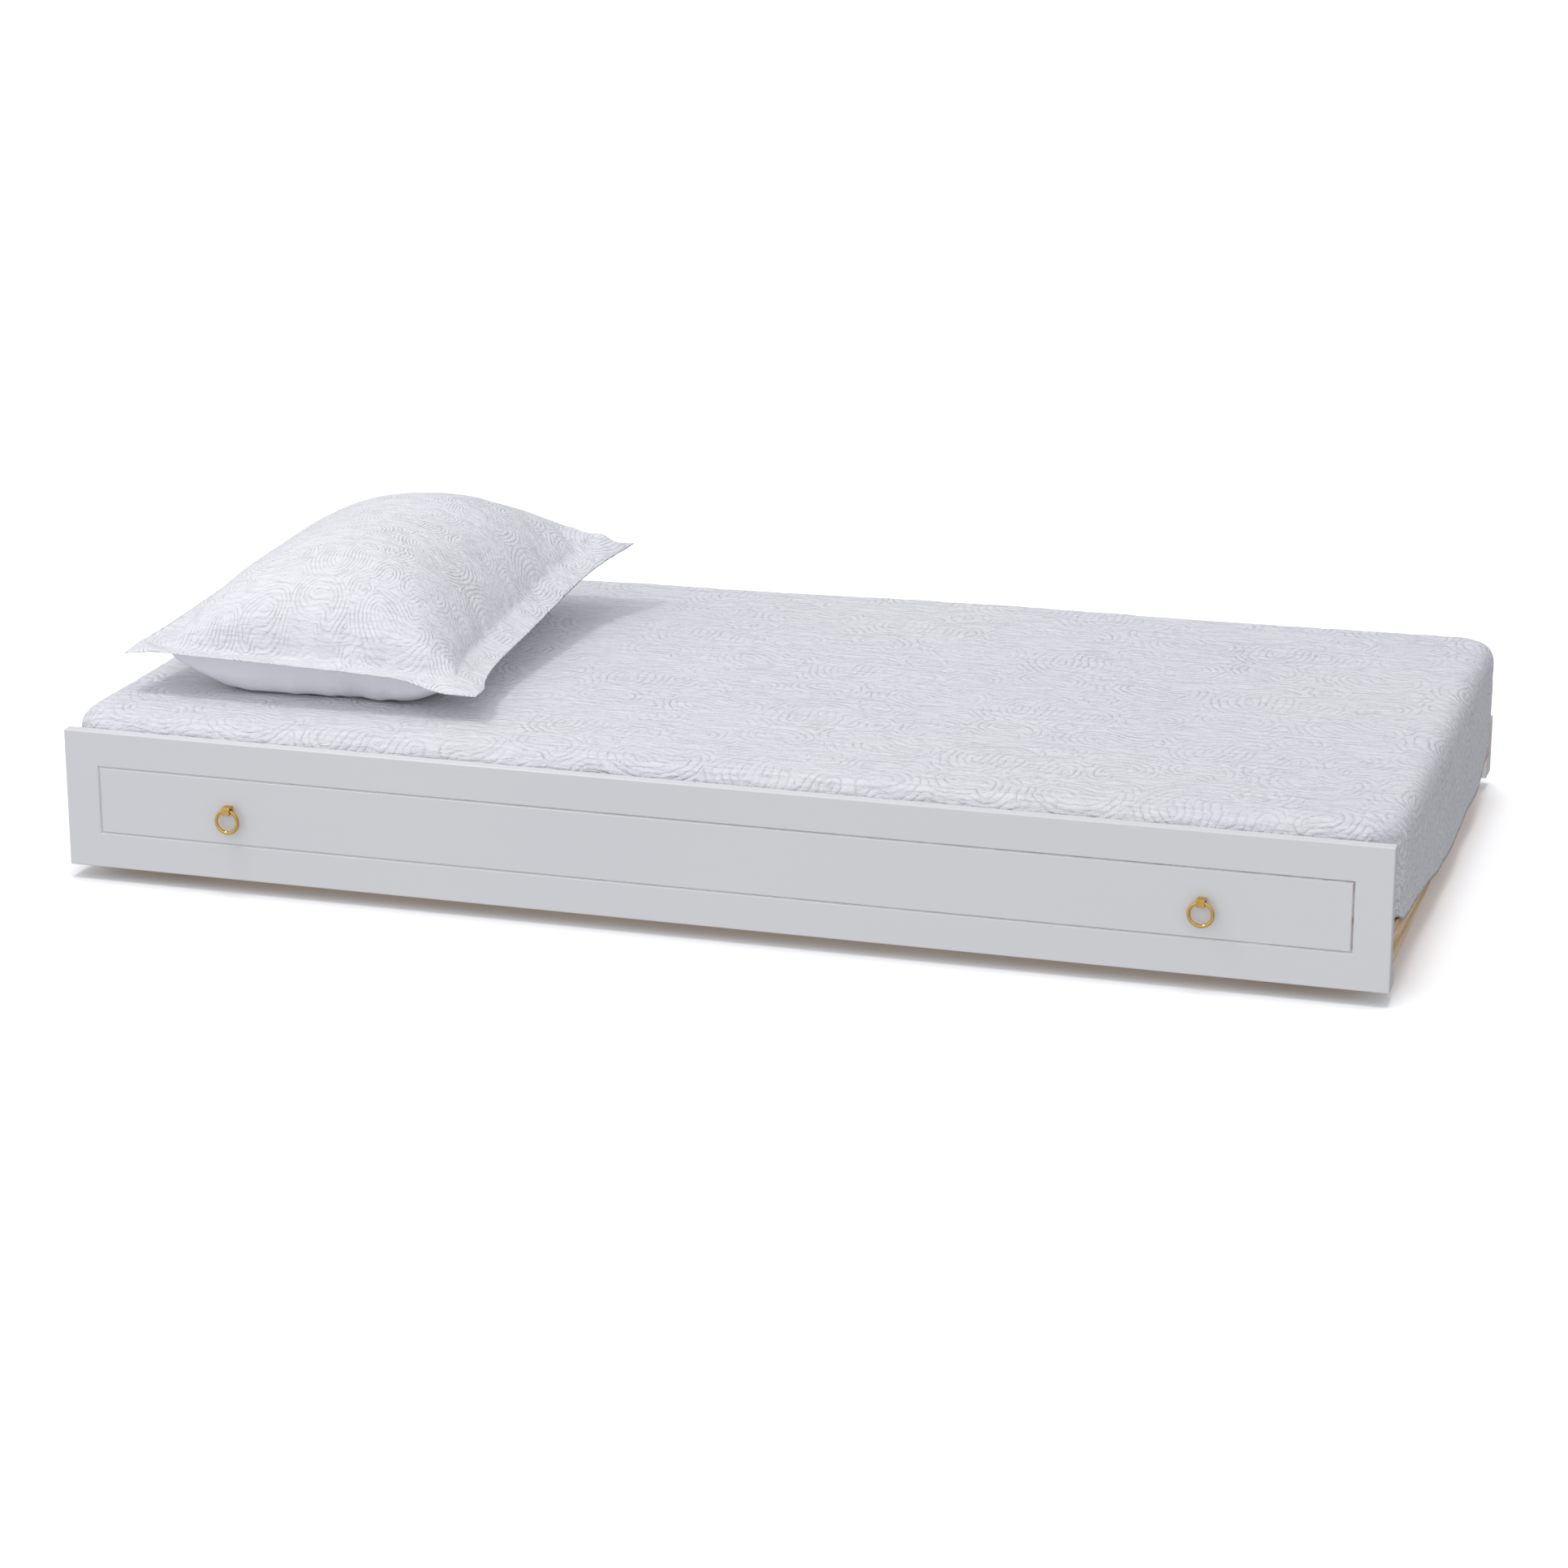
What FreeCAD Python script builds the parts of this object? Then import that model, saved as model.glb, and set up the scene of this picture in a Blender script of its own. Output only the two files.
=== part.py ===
import FreeCAD, Part
import math
import os
import re
import Sketcher

# Twin-size trundle bed: a low wheeled frame with slats, a mattress, a coverlet and one pillow.
# Millimetres. +X runs along the bed towards the foot end, +Y towards the back, +Z up.
# The origin lies on the floor, under the centre of the whole object.

Vector = FreeCAD.Vector
UP = Vector(0, 0, 1)
ALONG = Vector(1, 0, 0)
BACKWARDS = Vector(0, 1, 0)

doc = FreeCAD.newDocument("TrundleBed")
sheet = doc.addObject("Spreadsheet::Sheet", "Dims")
size = {}
parts = []

DIMENSIONS = [
    # The frame.
    ("bed_length", 1900),        # front panel and back rail, end to end
    ("bed_depth", 1040),         # front face of the panel to back face of the back rail
    ("floor_gap", 20),           # under the panel, the back rail and the corner blocks
    ("panel_height", 202),
    ("panel_thick", 18),
    ("back_height", 90),
    ("groove_inset", 50),        # from the panel's edges to the routed groove
    ("groove_width", 4.4),
    ("groove_flat", 0.4),        # at the bottom of the groove's V
    ("groove_deep", 2.2),
    ("eased_edge", 2),           # rounding on painted edges
    ("raw_edge", 1.5),           # rounding on raw wood edges
    ("rail_thick", 22),
    ("rail_inset", 0.5),         # end rail's outer face, inside the panel's end
    ("rail_bottom", 52),
    ("rail_height", 52),
    ("block_wide", 45),
    ("block_deep", 26),
    ("cleat_thick", 22),
    ("cleat_height", 34),
    ("beam_wide", 30),
    ("caster_board_wide", 90),
    ("caster_board_thick", 22),
    ("caster_board_offset", 800),
    ("slat_wide", 68),
    ("slat_thick", 18),
    ("slat_pitch", 148),
    # Casters.
    ("wheel_radius", 25),
    ("wheel_wide", 18),
    ("hub_radius", 9),
    ("hub_wide", 20.4),
    ("web_wide", 9),
    ("rim_inner", 18.5),
    ("tread_round", 2.5),
    ("axle_radius", 3),
    ("axle_play", 0.05),
    ("fork_gap", 21.2),
    ("steel_thick", 2.2),
    ("fork_wide", 20),
    ("plate_long", 62),
    ("plate_wide", 42),
    ("caster_front", 84),        # from the panel's front face to the front casters' axles
    ("caster_back", 956),
    # Ring pulls.
    ("pull_offset", 698),
    ("pull_projection", 15),
    ("post_wide", 12),
    ("post_high", 11),
    ("post_bottom", 120),
    ("post_edge", 1.2),
    ("ring_radius", 16.3),       # to the middle of the ring's wire
    ("ring_wire", 2.5),
    ("ring_axis_height", 125.3),
    ("ring_stand_off", 9.3),     # from the panel's face to the ring's plane
    ("ring_hole", 3.85),
    # Wood screws, dowels and cam fittings.
    ("screw_radius", 2),
    ("screw_head", 4),
    ("screw_sink", 2),
    ("hole_play", 0.1),
    ("dowel_radius", 4),
    ("dowel_long", 30),
    ("dowel_in_rail", 12),
    ("cam_radius", 7.5),
    ("cam_deep", 13),
    ("cam_set_back", 24),
    ("cam_pin_radius", 3),
    ("cam_pin_in_panel", 11),
    ("pull_screw_in_post", 4.5),
    ("pull_screw_head", 4),
    ("pull_screw_sink", 3),
    # Bedding.
    ("mattress_long", 1905),
    ("mattress_wide", 990),
    ("mattress_thick", 130),
    ("mattress_corner", 45),
    ("mattress_round", 40),
    ("soft_gap", 0.5),           # between a soft piece and what carries it
    ("coverlet_thick", 3.5),
    ("end_hem", 58),             # height of the hem at the head and foot ends
    ("side_hem", 108),           # height of the hem inside the panel and the back rail
    ("pillow_long", 660),        # along Y
    ("pillow_wide", 470),        # along X
    ("pillow_high", 200),
    ("pillow_corner", 110),
    ("pillow_round", 90),
    ("pillow_offset", 642),      # pillow's centre, from the middle towards the head end
    ("pillow_forward", 14.5),
    ("sham_thick", 2.5),
    ("flange_thick", 3),
    ("flange_width", 48),
    ("flange_height", 58),       # above the coverlet
]

# Counts and spacings of what repeats.
SLATS = 13
ENDS = (("left", -1), ("right", 1))
SIDES = (("front", -1), ("back", 1))

# Lengths of the fasteners and how they are spread.
SLAT_SCREW_LONG = 30
CLEAT_SCREW_LONG = 34
BEAM_SCREW_LONG = 50
BLOCK_SCREW_LONG = 45
CASTER_SCREW_LONG = 16
PAN_HEAD_HIGH = 2.4
CLEAT_SCREWS_X = (-740, -450, -150, 150, 450, 740)
BEAM_SCREWS_UP = (9, 25)
BLOCK_SCREWS_Y = (-6, 6)
BOARD_DOWELS_X = (-28, 28)
CAM_UP = 34
CORNER_DOWEL_UP = 19
PLATE_SCREWS_X = (-15, 15)
PLATE_SCREWS_Y = (-24, 24)

# Shapes of the fasteners, and what is left free past the end of each in its hole.
SCREW_POINT_LONG = 4
SCREW_POINT_RADIUS = 0.4
PAN_ROUNDING = 0.45
CAM_PIN_COLLAR = 12
CAM_PIN_WAIST = 8
CAM_PIN_HEAD = 3
CAM_PIN_WAIST_RADIUS = 1.65
CAM_SLOT_DEEP = 1
CAM_SLOT_WIDE = 1.6
CAM_SLOT_LONG = 9
CAM_CLEARANCE = 0.3
AXLE_PROUD = 0.5
AXLE_PRESS_PLAY = 0.02
END_PLAY = 0.5


def fill_sheet():
    """Write each driving dimension into its own cell, with its name as the alias."""
    for row, (name, value) in enumerate(DIMENSIONS, start=1):
        sheet.set("A%d" % row, name)
        sheet.set("B%d" % row, str(value))
        sheet.setAlias("B%d" % row, name)
        size[name] = value
    doc.recompute()


def cell(word):
    return "Dims." + word.group() if word.group() in size else word.group()


def formula(text):
    """Point each dimension's name in an expression at its cell."""
    return re.sub(r"[a-z_]+", cell, str(text))


def bind(item, prop, text):
    item.setExpression(prop, formula(text))


def place(item, x, y, z):
    for axis, text in zip("xyz", (x, y, z)):
        bind(item, "Placement.Base." + axis, text)


def keep(item, label):
    """Name a finished sub-part and put it on the export list."""
    item.Label = label
    parts.append(item)
    return item


# Sketches and features -------------------------------------------------------------------------

def new_sketch(body, role, name, lift=0):
    """Sketch on one of the body's own planes, lifted along that plane's normal."""
    sketch = body.newObject("Sketcher::SketchObject", name)
    plane = [item for item in body.Origin.OriginFeatures if item.Role == role][0]
    sketch.AttachmentSupport = [(plane, "")]
    sketch.MapMode = "FlatFace"
    bind(sketch, "AttachmentOffset.Base.z", lift)
    return sketch


def measure(sketch, constraint, text):
    index = sketch.addConstraint(constraint)
    bind(sketch, "Constraints[%d]" % index, text)


def rectangle(sketch, left, bottom, width, height):
    """Closed rectangle from its lower left corner."""
    first = sketch.GeometryCount
    corners = [Vector(0, 0, 0), Vector(10, 0, 0), Vector(10, 10, 0), Vector(0, 10, 0)]
    for index in range(4):
        sketch.addGeometry(Part.LineSegment(corners[index], corners[(index + 1) % 4]))
    for index in range(4):
        sketch.addConstraint(Sketcher.Constraint("Coincident", first + index, 2, first + (index + 1) % 4, 1))
    for index in (0, 2):
        sketch.addConstraint(Sketcher.Constraint("Horizontal", first + index))
        sketch.addConstraint(Sketcher.Constraint("Vertical", first + index + 1))
    measure(sketch, Sketcher.Constraint("DistanceX", first, 1, first, 2, 10), width)
    measure(sketch, Sketcher.Constraint("DistanceY", first + 1, 1, first + 1, 2, 10), height)
    measure(sketch, Sketcher.Constraint("DistanceX", -1, 1, first, 1, 0), left)
    measure(sketch, Sketcher.Constraint("DistanceY", -1, 1, first, 1, 0), bottom)


def centred_rectangle(sketch, width, height):
    rectangle(sketch, "-(%s) / 2" % width, "-(%s) / 2" % height, width, height)


def circle(sketch, x, y, radius):
    index = sketch.addGeometry(Part.Circle(Vector(0, 0, 0), UP, 3))
    measure(sketch, Sketcher.Constraint("Radius", index, 3), radius)
    measure(sketch, Sketcher.Constraint("DistanceX", -1, 1, index, 3, 0), x)
    measure(sketch, Sketcher.Constraint("DistanceY", -1, 1, index, 3, 0), y)


def pad(body, sketch, length, both_ways=False):
    feature = body.newObject("PartDesign::Pad", sketch.Name + "_pad")
    feature.Profile = sketch
    bind(feature, "Length", length)
    if both_ways:
        feature.SideType = "Symmetric"
    body.Tip = feature
    return feature


def cut(body, sketch, depth=None, flip=False):
    """Pocket against the sketch's normal, or along it when flipped; right through without a depth."""
    doc.recompute()
    before = body.Shape.Volume
    feature = body.newObject("PartDesign::Pocket", sketch.Name + "_cut")
    feature.Profile = sketch
    if depth is None:
        feature.Type = "ThroughAll"
        feature.SideType = "Symmetric"
    else:
        bind(feature, "Length", depth)
        feature.Reversed = flip
    body.Tip = feature
    doc.recompute()
    if body.Shape.Volume > before - 0.1:
        raise RuntimeError("%s cuts nothing" % feature.Name)
    return feature


def is_round(edge):
    """Whether an edge is a whole circle."""
    return edge.Length > 1 and edge.isClosed()


def edges_where(shape, test):
    return ["Edge%d" % (index + 1) for index, edge in enumerate(shape.Edges) if test(edge)]


def dress(body, kind, names, amount):
    """Fillet or chamfer on the named edges of the body's last feature."""
    base = body.Tip
    feature = body.newObject("PartDesign::" + kind, "%s_%s%d" % (body.Name, kind, len(body.Group)))
    feature.Base = (base, names)
    bind(feature, "Radius" if kind == "Fillet" else "Size", amount)
    body.Tip = feature
    doc.recompute()
    return feature


def soften(body, amount):
    doc.recompute()
    dress(body, "Fillet", edges_where(body.Shape, lambda edge: True), amount)


def sink_heads(body, up):
    """Countersink every round hole whose mouth lies at a local height."""
    mouths = edges_where(body.Tip.Shape,
                         lambda edge: is_round(edge) and abs(edge.CenterOfMass.z - up) < 0.01)
    dress(body, "Chamfer", mouths, "screw_sink")


def board(label, along_x, along_y, along_z, x, y, z, rounding="raw_edge"):
    """Straight board, placed by the centre of its underside."""
    body = doc.addObject("PartDesign::Body", label)
    outline = new_sketch(body, "XY_Plane", label + "_outline")
    centred_rectangle(outline, along_x, along_y)
    pad(body, outline, along_z)
    soften(body, rounding)
    place(body, x, y, z)
    return keep(body, label)


def drill(body, role, name, centres, radius, lift=0, depth=None, flip=False):
    """Round holes at centres given in the sketch plane's own two directions."""
    holes = new_sketch(body, role, name, lift)
    for across, along in centres:
        circle(holes, across, along, radius)
    return cut(body, holes, depth, flip)


# Groups of loose fasteners ---------------------------------------------------------------------

def wood_screw(foot, direction, length):
    """Countersunk screw: foot is the middle of its head's flat face, direction points into the wood."""
    sink = size["screw_sink"]
    radius = size["screw_radius"]
    straight = length - SCREW_POINT_LONG
    head = Part.makeCone(size["screw_head"], radius, sink, foot, direction)
    shank = Part.makeCylinder(radius, straight - sink, foot + direction * sink, direction)
    point_at = foot + direction * straight
    point = Part.makeCone(radius, SCREW_POINT_RADIUS, SCREW_POINT_LONG, point_at, direction)
    return head.fuse([shank, point]).removeSplitter()


def pan_screw(foot, direction, length, head_radius, head_high):
    """Pan-head screw: foot is where the head's underside meets the surface."""
    head = Part.makeCylinder(head_radius, head_high, foot - direction * head_high, direction)
    crown = min(head.Edges, key=lambda edge: (edge.CenterOfMass - foot).dot(direction))
    head = head.makeFillet(head_high * PAN_ROUNDING, [crown])
    shank = Part.makeCylinder(size["screw_radius"], length, foot, direction)
    return head.fuse(shank)


def group(label, solids):
    item = doc.addObject("Part::Feature", label)
    item.Shape = Part.makeCompound(solids)
    return keep(item, label)


# Frame -----------------------------------------------------------------------------------------

MIDDLE = "pull_projection / 2"
FRONT_FACE = "pull_projection / 2 - bed_depth / 2"
BACK_FACE = "pull_projection / 2 + bed_depth / 2"
INNER_DEPTH = "bed_depth - 2 * panel_thick"
INNER_LENGTH = "bed_length - 2 * rail_inset - 2 * rail_thick"
RAIL_X = "bed_length / 2 - rail_inset - rail_thick / 2"
CLEAT_TOP = "rail_bottom + cleat_height"
DOWEL_DEEP = "dowel_long - dowel_in_rail + %g" % END_PLAY
SLAT_PILOT_DEEP = "%g - slat_thick" % (SLAT_SCREW_LONG + END_PLAY)


def slat_positions():
    return [size["slat_pitch"] * (index - (SLATS - 1) / 2) for index in range(SLATS)]


def slat_rows():
    """Where each slat is screwed down, front to back, from the frame's middle."""
    edge = size["bed_depth"] / 2 - size["panel_thick"] - size["cleat_thick"] / 2
    return (-edge, 0, edge)


def front_panel():
    """Painted panel with a V groove routed round its face and holes for the pulls."""
    panel = board("front_panel", "bed_length", "panel_thick", "panel_height", 0,
                  FRONT_FACE + " + panel_thick / 2", "floor_gap", "eased_edge")
    groove = new_sketch(panel, "XZ_Plane", "front_panel_groove", "panel_thick / 2")
    for side in (-1, 1):
        inset = "(groove_inset + groove_width / 2 + %d * groove_flat / 2)" % side
        rectangle(groove, "%s - bed_length / 2" % inset, inset,
                  "bed_length - 2 * %s" % inset, "panel_height - 2 * %s" % inset)
    cut(panel, groove, "groove_deep")
    face = -size["panel_thick"] / 2
    lips = edges_where(panel.Tip.Shape, lambda edge: abs(edge.BoundBox.YMax - face) < 0.01
                       and edge.BoundBox.ZMin > size["groove_inset"]
                       and edge.BoundBox.ZMax < size["panel_height"] - size["groove_inset"])
    dress(panel, "Chamfer", lips, "(groove_width - groove_flat) / 2")
    pull_up = "post_bottom + post_high / 2 - floor_gap"
    pull_holes = [("%d * pull_offset" % side, pull_up) for _, side in ENDS]
    drill(panel, "XZ_Plane", "pull_holes", pull_holes, "screw_radius + hole_play")
    drill(panel, "XZ_Plane", "pull_sinks", pull_holes, "pull_screw_head + 3 * hole_play",
          "-panel_thick / 2", "pull_screw_sink", True)
    fixing_holes(panel, -1)


def back_rail():
    rail = board("back_rail", "bed_length", "panel_thick", "back_height", 0,
                 BACK_FACE + " - panel_thick / 2", "floor_gap", "eased_edge")
    fixing_holes(rail, 1)


def fixing_holes(panel, side):
    """Blind holes in the hidden face for the cleat's screws and the end rails' cam pins and dowels."""
    face = "%d * panel_thick / 2" % side
    up = "rail_bottom + cleat_height / 2 - floor_gap"
    screws = [(x, up) for x in CLEAT_SCREWS_X]
    depth = "%g - cleat_thick" % (CLEAT_SCREW_LONG + END_PLAY)
    drill(panel, "XZ_Plane", panel.Label + "_screw_holes", screws, "screw_radius + hole_play",
          face, depth, side < 0)
    pins = [("%d * (%s)" % (end, RAIL_X), "rail_bottom - floor_gap + %g" % CAM_UP) for _, end in ENDS]
    drill(panel, "XZ_Plane", panel.Label + "_pin_holes", pins, "cam_pin_radius + hole_play",
          face, "cam_pin_in_panel + %g" % END_PLAY, side < 0)
    dowels = [(x, "rail_bottom - floor_gap + %g" % CORNER_DOWEL_UP) for x, _ in pins]
    drill(panel, "XZ_Plane", panel.Label + "_dowel_holes", dowels, "dowel_radius + hole_play",
          face, "dowel_in_rail + %g" % END_PLAY, side < 0)


def end_rails():
    """Raw wood rails across the head and foot ends, drilled for cams, dowels and the beam's screws."""
    for name, end in ENDS:
        rail = board("end_rail_" + name, "rail_thick", INNER_DEPTH, "rail_height",
                     "%d * (%s)" % (end, RAIL_X), MIDDLE, "rail_bottom")
        for side_name, side in SIDES:
            face = "%d * (%s) / 2" % (-side, INNER_DEPTH)
            drill(rail, "XZ_Plane", "rail_pin_%s_%s" % (name, side_name), [(0, CAM_UP)],
                  "cam_pin_radius + hole_play", face, "cam_set_back", side > 0)
            drill(rail, "XZ_Plane", "rail_dowel_%s_%s" % (name, side_name), [(0, CORNER_DOWEL_UP)],
                  "dowel_radius + hole_play", face, DOWEL_DEEP, side > 0)
        cams = [("%d * ((%s) / 2 - cam_set_back)" % (side, INNER_DEPTH), CAM_UP) for _, side in SIDES]
        drill(rail, "YZ_Plane", "rail_cams_" + name, cams, "cam_radius + hole_play",
              "%d * rail_thick / 2" % -end, "cam_deep", end > 0)
        beam = [(0, up) for up in BEAM_SCREWS_UP]
        drill(rail, "YZ_Plane", "rail_beam_" + name, beam, "screw_radius + hole_play")
        drill(rail, "YZ_Plane", "rail_beam_sinks_" + name, beam, "screw_head + hole_play",
              "%d * rail_thick / 2" % end, "screw_sink", end < 0)
        blocks = [(0, "%d * ((%s) / 2 - block_deep / 2) + %g" % (side, INNER_DEPTH, along))
                  for _, side in SIDES for along in BLOCK_SCREWS_Y]
        drill(rail, "XY_Plane", "rail_block_" + name, blocks, "screw_radius + hole_play",
              0, "%g + floor_gap - rail_bottom" % (BLOCK_SCREW_LONG + END_PLAY), True)


def corner_blocks():
    """Painted blocks under the rails' ends, which stop the frame just above the floor."""
    for name, end in ENDS:
        for side_name, side in SIDES:
            block = board("corner_block_%s_%s" % (side_name, name), "block_wide", "block_deep",
                          "rail_bottom - floor_gap",
                          "%d * (bed_length / 2 - rail_inset - block_wide / 2)" % end,
                          "%s + %d * ((%s) / 2 - block_deep / 2)" % (MIDDLE, side, INNER_DEPTH), "floor_gap")
            across = "%d * (block_wide - rail_thick) / 2" % end
            drill(block, "XY_Plane", block.Label + "_holes", [(across, y) for y in BLOCK_SCREWS_Y],
                  "screw_radius + hole_play")
            sink_heads(block, 0)


def cleats():
    """Ledges behind the panel and the back rail that carry the slats' ends."""
    for side_name, side in SIDES:
        cleat = board(side_name + "_cleat", INNER_LENGTH, "cleat_thick", "cleat_height", 0,
                      "%s + %d * ((%s) / 2 - cleat_thick / 2)" % (MIDDLE, side, INNER_DEPTH), "rail_bottom")
        drill(cleat, "XZ_Plane", cleat.Label + "_holes", [(x, "cleat_height / 2") for x in CLEAT_SCREWS_X],
              "screw_radius + hole_play")
        drill(cleat, "XZ_Plane", cleat.Label + "_sinks", [(x, "cleat_height / 2") for x in CLEAT_SCREWS_X],
              "screw_head + hole_play", "%d * cleat_thick / 2" % side, "screw_sink", side < 0)
        drill(cleat, "XY_Plane", cleat.Label + "_pilots", [(x, 0) for x in slat_positions()],
              "screw_radius + hole_play", "cleat_height", SLAT_PILOT_DEEP)
        dowels = [("%d * caster_board_offset + %g" % (end, x), "cleat_height - caster_board_thick / 2")
                  for _, end in ENDS for x in BOARD_DOWELS_X]
        drill(cleat, "XZ_Plane", cleat.Label + "_dowels", dowels, "dowel_radius + hole_play",
              "%d * cleat_thick / 2" % side, "dowel_in_rail + %g" % END_PLAY, side < 0)


def centre_beam():
    """Lengthwise beam under the slats, notched over the two caster boards."""
    beam = board("centre_beam", INNER_LENGTH, "beam_wide", "cleat_height", 0, MIDDLE, "rail_bottom")
    notch = new_sketch(beam, "XZ_Plane", "beam_notches")
    for _, end in ENDS:
        rectangle(notch, "%d * caster_board_offset - caster_board_wide / 2" % end,
                  "cleat_height - caster_board_thick", "caster_board_wide", "caster_board_thick + 1")
    cut(beam, notch)
    drill(beam, "XY_Plane", "beam_pilots", [(x, 0) for x in slat_positions()],
          "screw_radius + hole_play", "cleat_height", SLAT_PILOT_DEEP)
    for name, end in ENDS:
        drill(beam, "YZ_Plane", "beam_end_" + name, [(0, up) for up in BEAM_SCREWS_UP],
              "screw_radius + hole_play", "%d * (%s) / 2" % (end, INNER_LENGTH),
              "%g - rail_thick" % (BEAM_SCREW_LONG + END_PLAY), end < 0)


def caster_boards():
    """Boards from cleat to cleat that the casters are screwed to."""
    length = "%s - 2 * cleat_thick" % INNER_DEPTH
    for name, end in ENDS:
        item = board("caster_board_" + name, "caster_board_wide", length, "caster_board_thick",
                     "%d * caster_board_offset" % end, MIDDLE, CLEAT_TOP + " - caster_board_thick")
        pilots = [(x, "%s - (%s) + %g" % (y, MIDDLE, along)) for y in caster_lines()
                  for x in PLATE_SCREWS_X for along in PLATE_SCREWS_Y]
        drill(item, "XY_Plane", item.Label + "_pilots", pilots, "screw_radius + hole_play",
              0, "%g - steel_thick" % (CASTER_SCREW_LONG + END_PLAY), True)
        for side_name, side in SIDES:
            drill(item, "XZ_Plane", "%s_dowels_%s" % (item.Label, side_name),
                  [(x, "caster_board_thick / 2") for x in BOARD_DOWELS_X], "dowel_radius + hole_play",
                  "%d * (%s) / 2" % (-side, length), DOWEL_DEEP, side > 0)


def slats():
    for index, x in enumerate(slat_positions(), start=1):
        slat = board("slat_%02d" % index, "slat_wide", INNER_DEPTH + " - 2", "slat_thick",
                     "slat_pitch * %g" % (index - (SLATS + 1) / 2), MIDDLE, CLEAT_TOP)
        drill(slat, "XY_Plane", slat.Label + "_holes", [(0, y) for y in slat_rows()],
              "screw_radius + hole_play")
        sink_heads(slat, size["slat_thick"])


# Fasteners -------------------------------------------------------------------------------------

def frame_fasteners():
    middle = size["pull_projection"] / 2
    inner = size["bed_depth"] / 2 - size["panel_thick"]
    rail_x = size["bed_length"] / 2 - size["rail_inset"] - size["rail_thick"] / 2
    low = size["rail_bottom"]
    slat_top = low + size["cleat_height"] + size["slat_thick"]

    group("slat_screws", [wood_screw(Vector(x, middle + y, slat_top), -UP, SLAT_SCREW_LONG)
                          for x in slat_positions() for y in slat_rows()])

    face = inner - size["cleat_thick"]
    group("cleat_screws", [wood_screw(Vector(x, middle + side * face, low + size["cleat_height"] / 2),
                                      BACKWARDS * side, CLEAT_SCREW_LONG)
                           for _, side in SIDES for x in CLEAT_SCREWS_X])

    outside = rail_x + size["rail_thick"] / 2
    group("beam_screws", [wood_screw(Vector(end * outside, middle, low + up), ALONG * -end, BEAM_SCREW_LONG)
                          for _, end in ENDS for up in BEAM_SCREWS_UP])

    block_y = inner - size["block_deep"] / 2
    group("block_screws", [wood_screw(Vector(end * rail_x, middle + side * block_y + along,
                                             size["floor_gap"]), UP, BLOCK_SCREW_LONG)
                           for _, end in ENDS for _, side in SIDES for along in BLOCK_SCREWS_Y])

    cams, pins, dowels = [], [], []
    for _, end in ENDS:
        for _, side in SIDES:
            outwards = BACKWARDS * side
            cam_y = middle + side * (inner - size["cam_set_back"])
            cam_face = Vector(end * (rail_x - size["rail_thick"] / 2), cam_y, low + CAM_UP)
            cams.append(cam_lock(cam_face, ALONG * end, outwards))
            joint = Vector(end * rail_x, middle + side * inner, low)
            pins.append(cam_pin(joint + UP * CAM_UP, outwards))
            foot = joint + UP * CORNER_DOWEL_UP + outwards * size["dowel_in_rail"]
            dowels.append(Part.makeCylinder(size["dowel_radius"], size["dowel_long"], foot, -outwards))
    group("cam_locks", cams)
    group("cam_pins", pins)
    group("corner_dowels", dowels)

    board_up = low + size["cleat_height"] - size["caster_board_thick"] / 2
    board_end = inner - size["cleat_thick"] + size["dowel_in_rail"]
    group("board_dowels", [Part.makeCylinder(size["dowel_radius"], size["dowel_long"],
                                             Vector(end * size["caster_board_offset"] + x,
                                                    middle + side * board_end, board_up), BACKWARDS * -side)
                           for _, end in ENDS for _, side in SIDES for x in BOARD_DOWELS_X])


def cam_lock(face, inwards, towards_panel):
    """Round cam, open towards the pin that it grips, with a cross slot in its face."""
    radius = size["cam_radius"]
    body = Part.makeCylinder(radius, size["cam_deep"] - CAM_CLEARANCE, face, inwards)
    grip = size["cam_pin_radius"] + 1
    middle = face + inwards * (size["rail_thick"] / 2)
    mouth = Part.makeCylinder(grip, radius + 2, middle, towards_panel)
    corner = face - Vector(CAM_SLOT_DEEP, CAM_SLOT_WIDE / 2, CAM_SLOT_LONG / 2)
    slot = Part.makeBox(2 * CAM_SLOT_DEEP, CAM_SLOT_WIDE, CAM_SLOT_LONG, corner)
    return body.cut([mouth, slot])


def cam_pin(face, towards_panel):
    """Pin screwed into the panel, with a waist and a head that the cam grips."""
    radius = size["cam_pin_radius"]
    pin = Part.makeCylinder(radius, size["cam_pin_in_panel"], face, towards_panel)
    reach = 0
    for wide, long in ((radius, CAM_PIN_COLLAR), (CAM_PIN_WAIST_RADIUS, CAM_PIN_WAIST),
                       (radius, CAM_PIN_HEAD)):
        pin = pin.fuse(Part.makeCylinder(wide, long, face - towards_panel * reach, -towards_panel))
        reach += long
    return pin.removeSplitter()


# Casters ---------------------------------------------------------------------------------------

def caster_lines():
    """Axle positions front to back, as formulas."""
    return [FRONT_FACE + " + caster_front", FRONT_FACE + " + caster_back"]


def caster_wheel(name, x, y):
    """Moulded wheel: a rim with rounded tread, a thin web and a hub, turned about X."""
    body = doc.addObject("PartDesign::Body", "caster_wheel_" + name)
    for level, (inner, outer, wide) in enumerate((
            ("axle_radius + axle_play", "hub_radius", "hub_wide"),
            ("hub_radius - 1", "rim_inner + 1", "web_wide"),
            ("rim_inner", "wheel_radius", "wheel_wide"))):
        ring = new_sketch(body, "YZ_Plane", "wheel_%s_%d" % (name, level))
        circle(ring, 0, 0, outer)
        circle(ring, 0, 0, inner)
        pad(body, ring, wide, True)
    doc.recompute()
    tread = 2 * size["wheel_radius"] - 0.01
    rims = edges_where(body.Tip.Shape, lambda edge: is_round(edge) and edge.BoundBox.ZLength > tread)
    dress(body, "Fillet", rims, "tread_round")
    place(body, x, y, "wheel_radius")
    keep(body, "caster_wheel_" + name)


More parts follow.
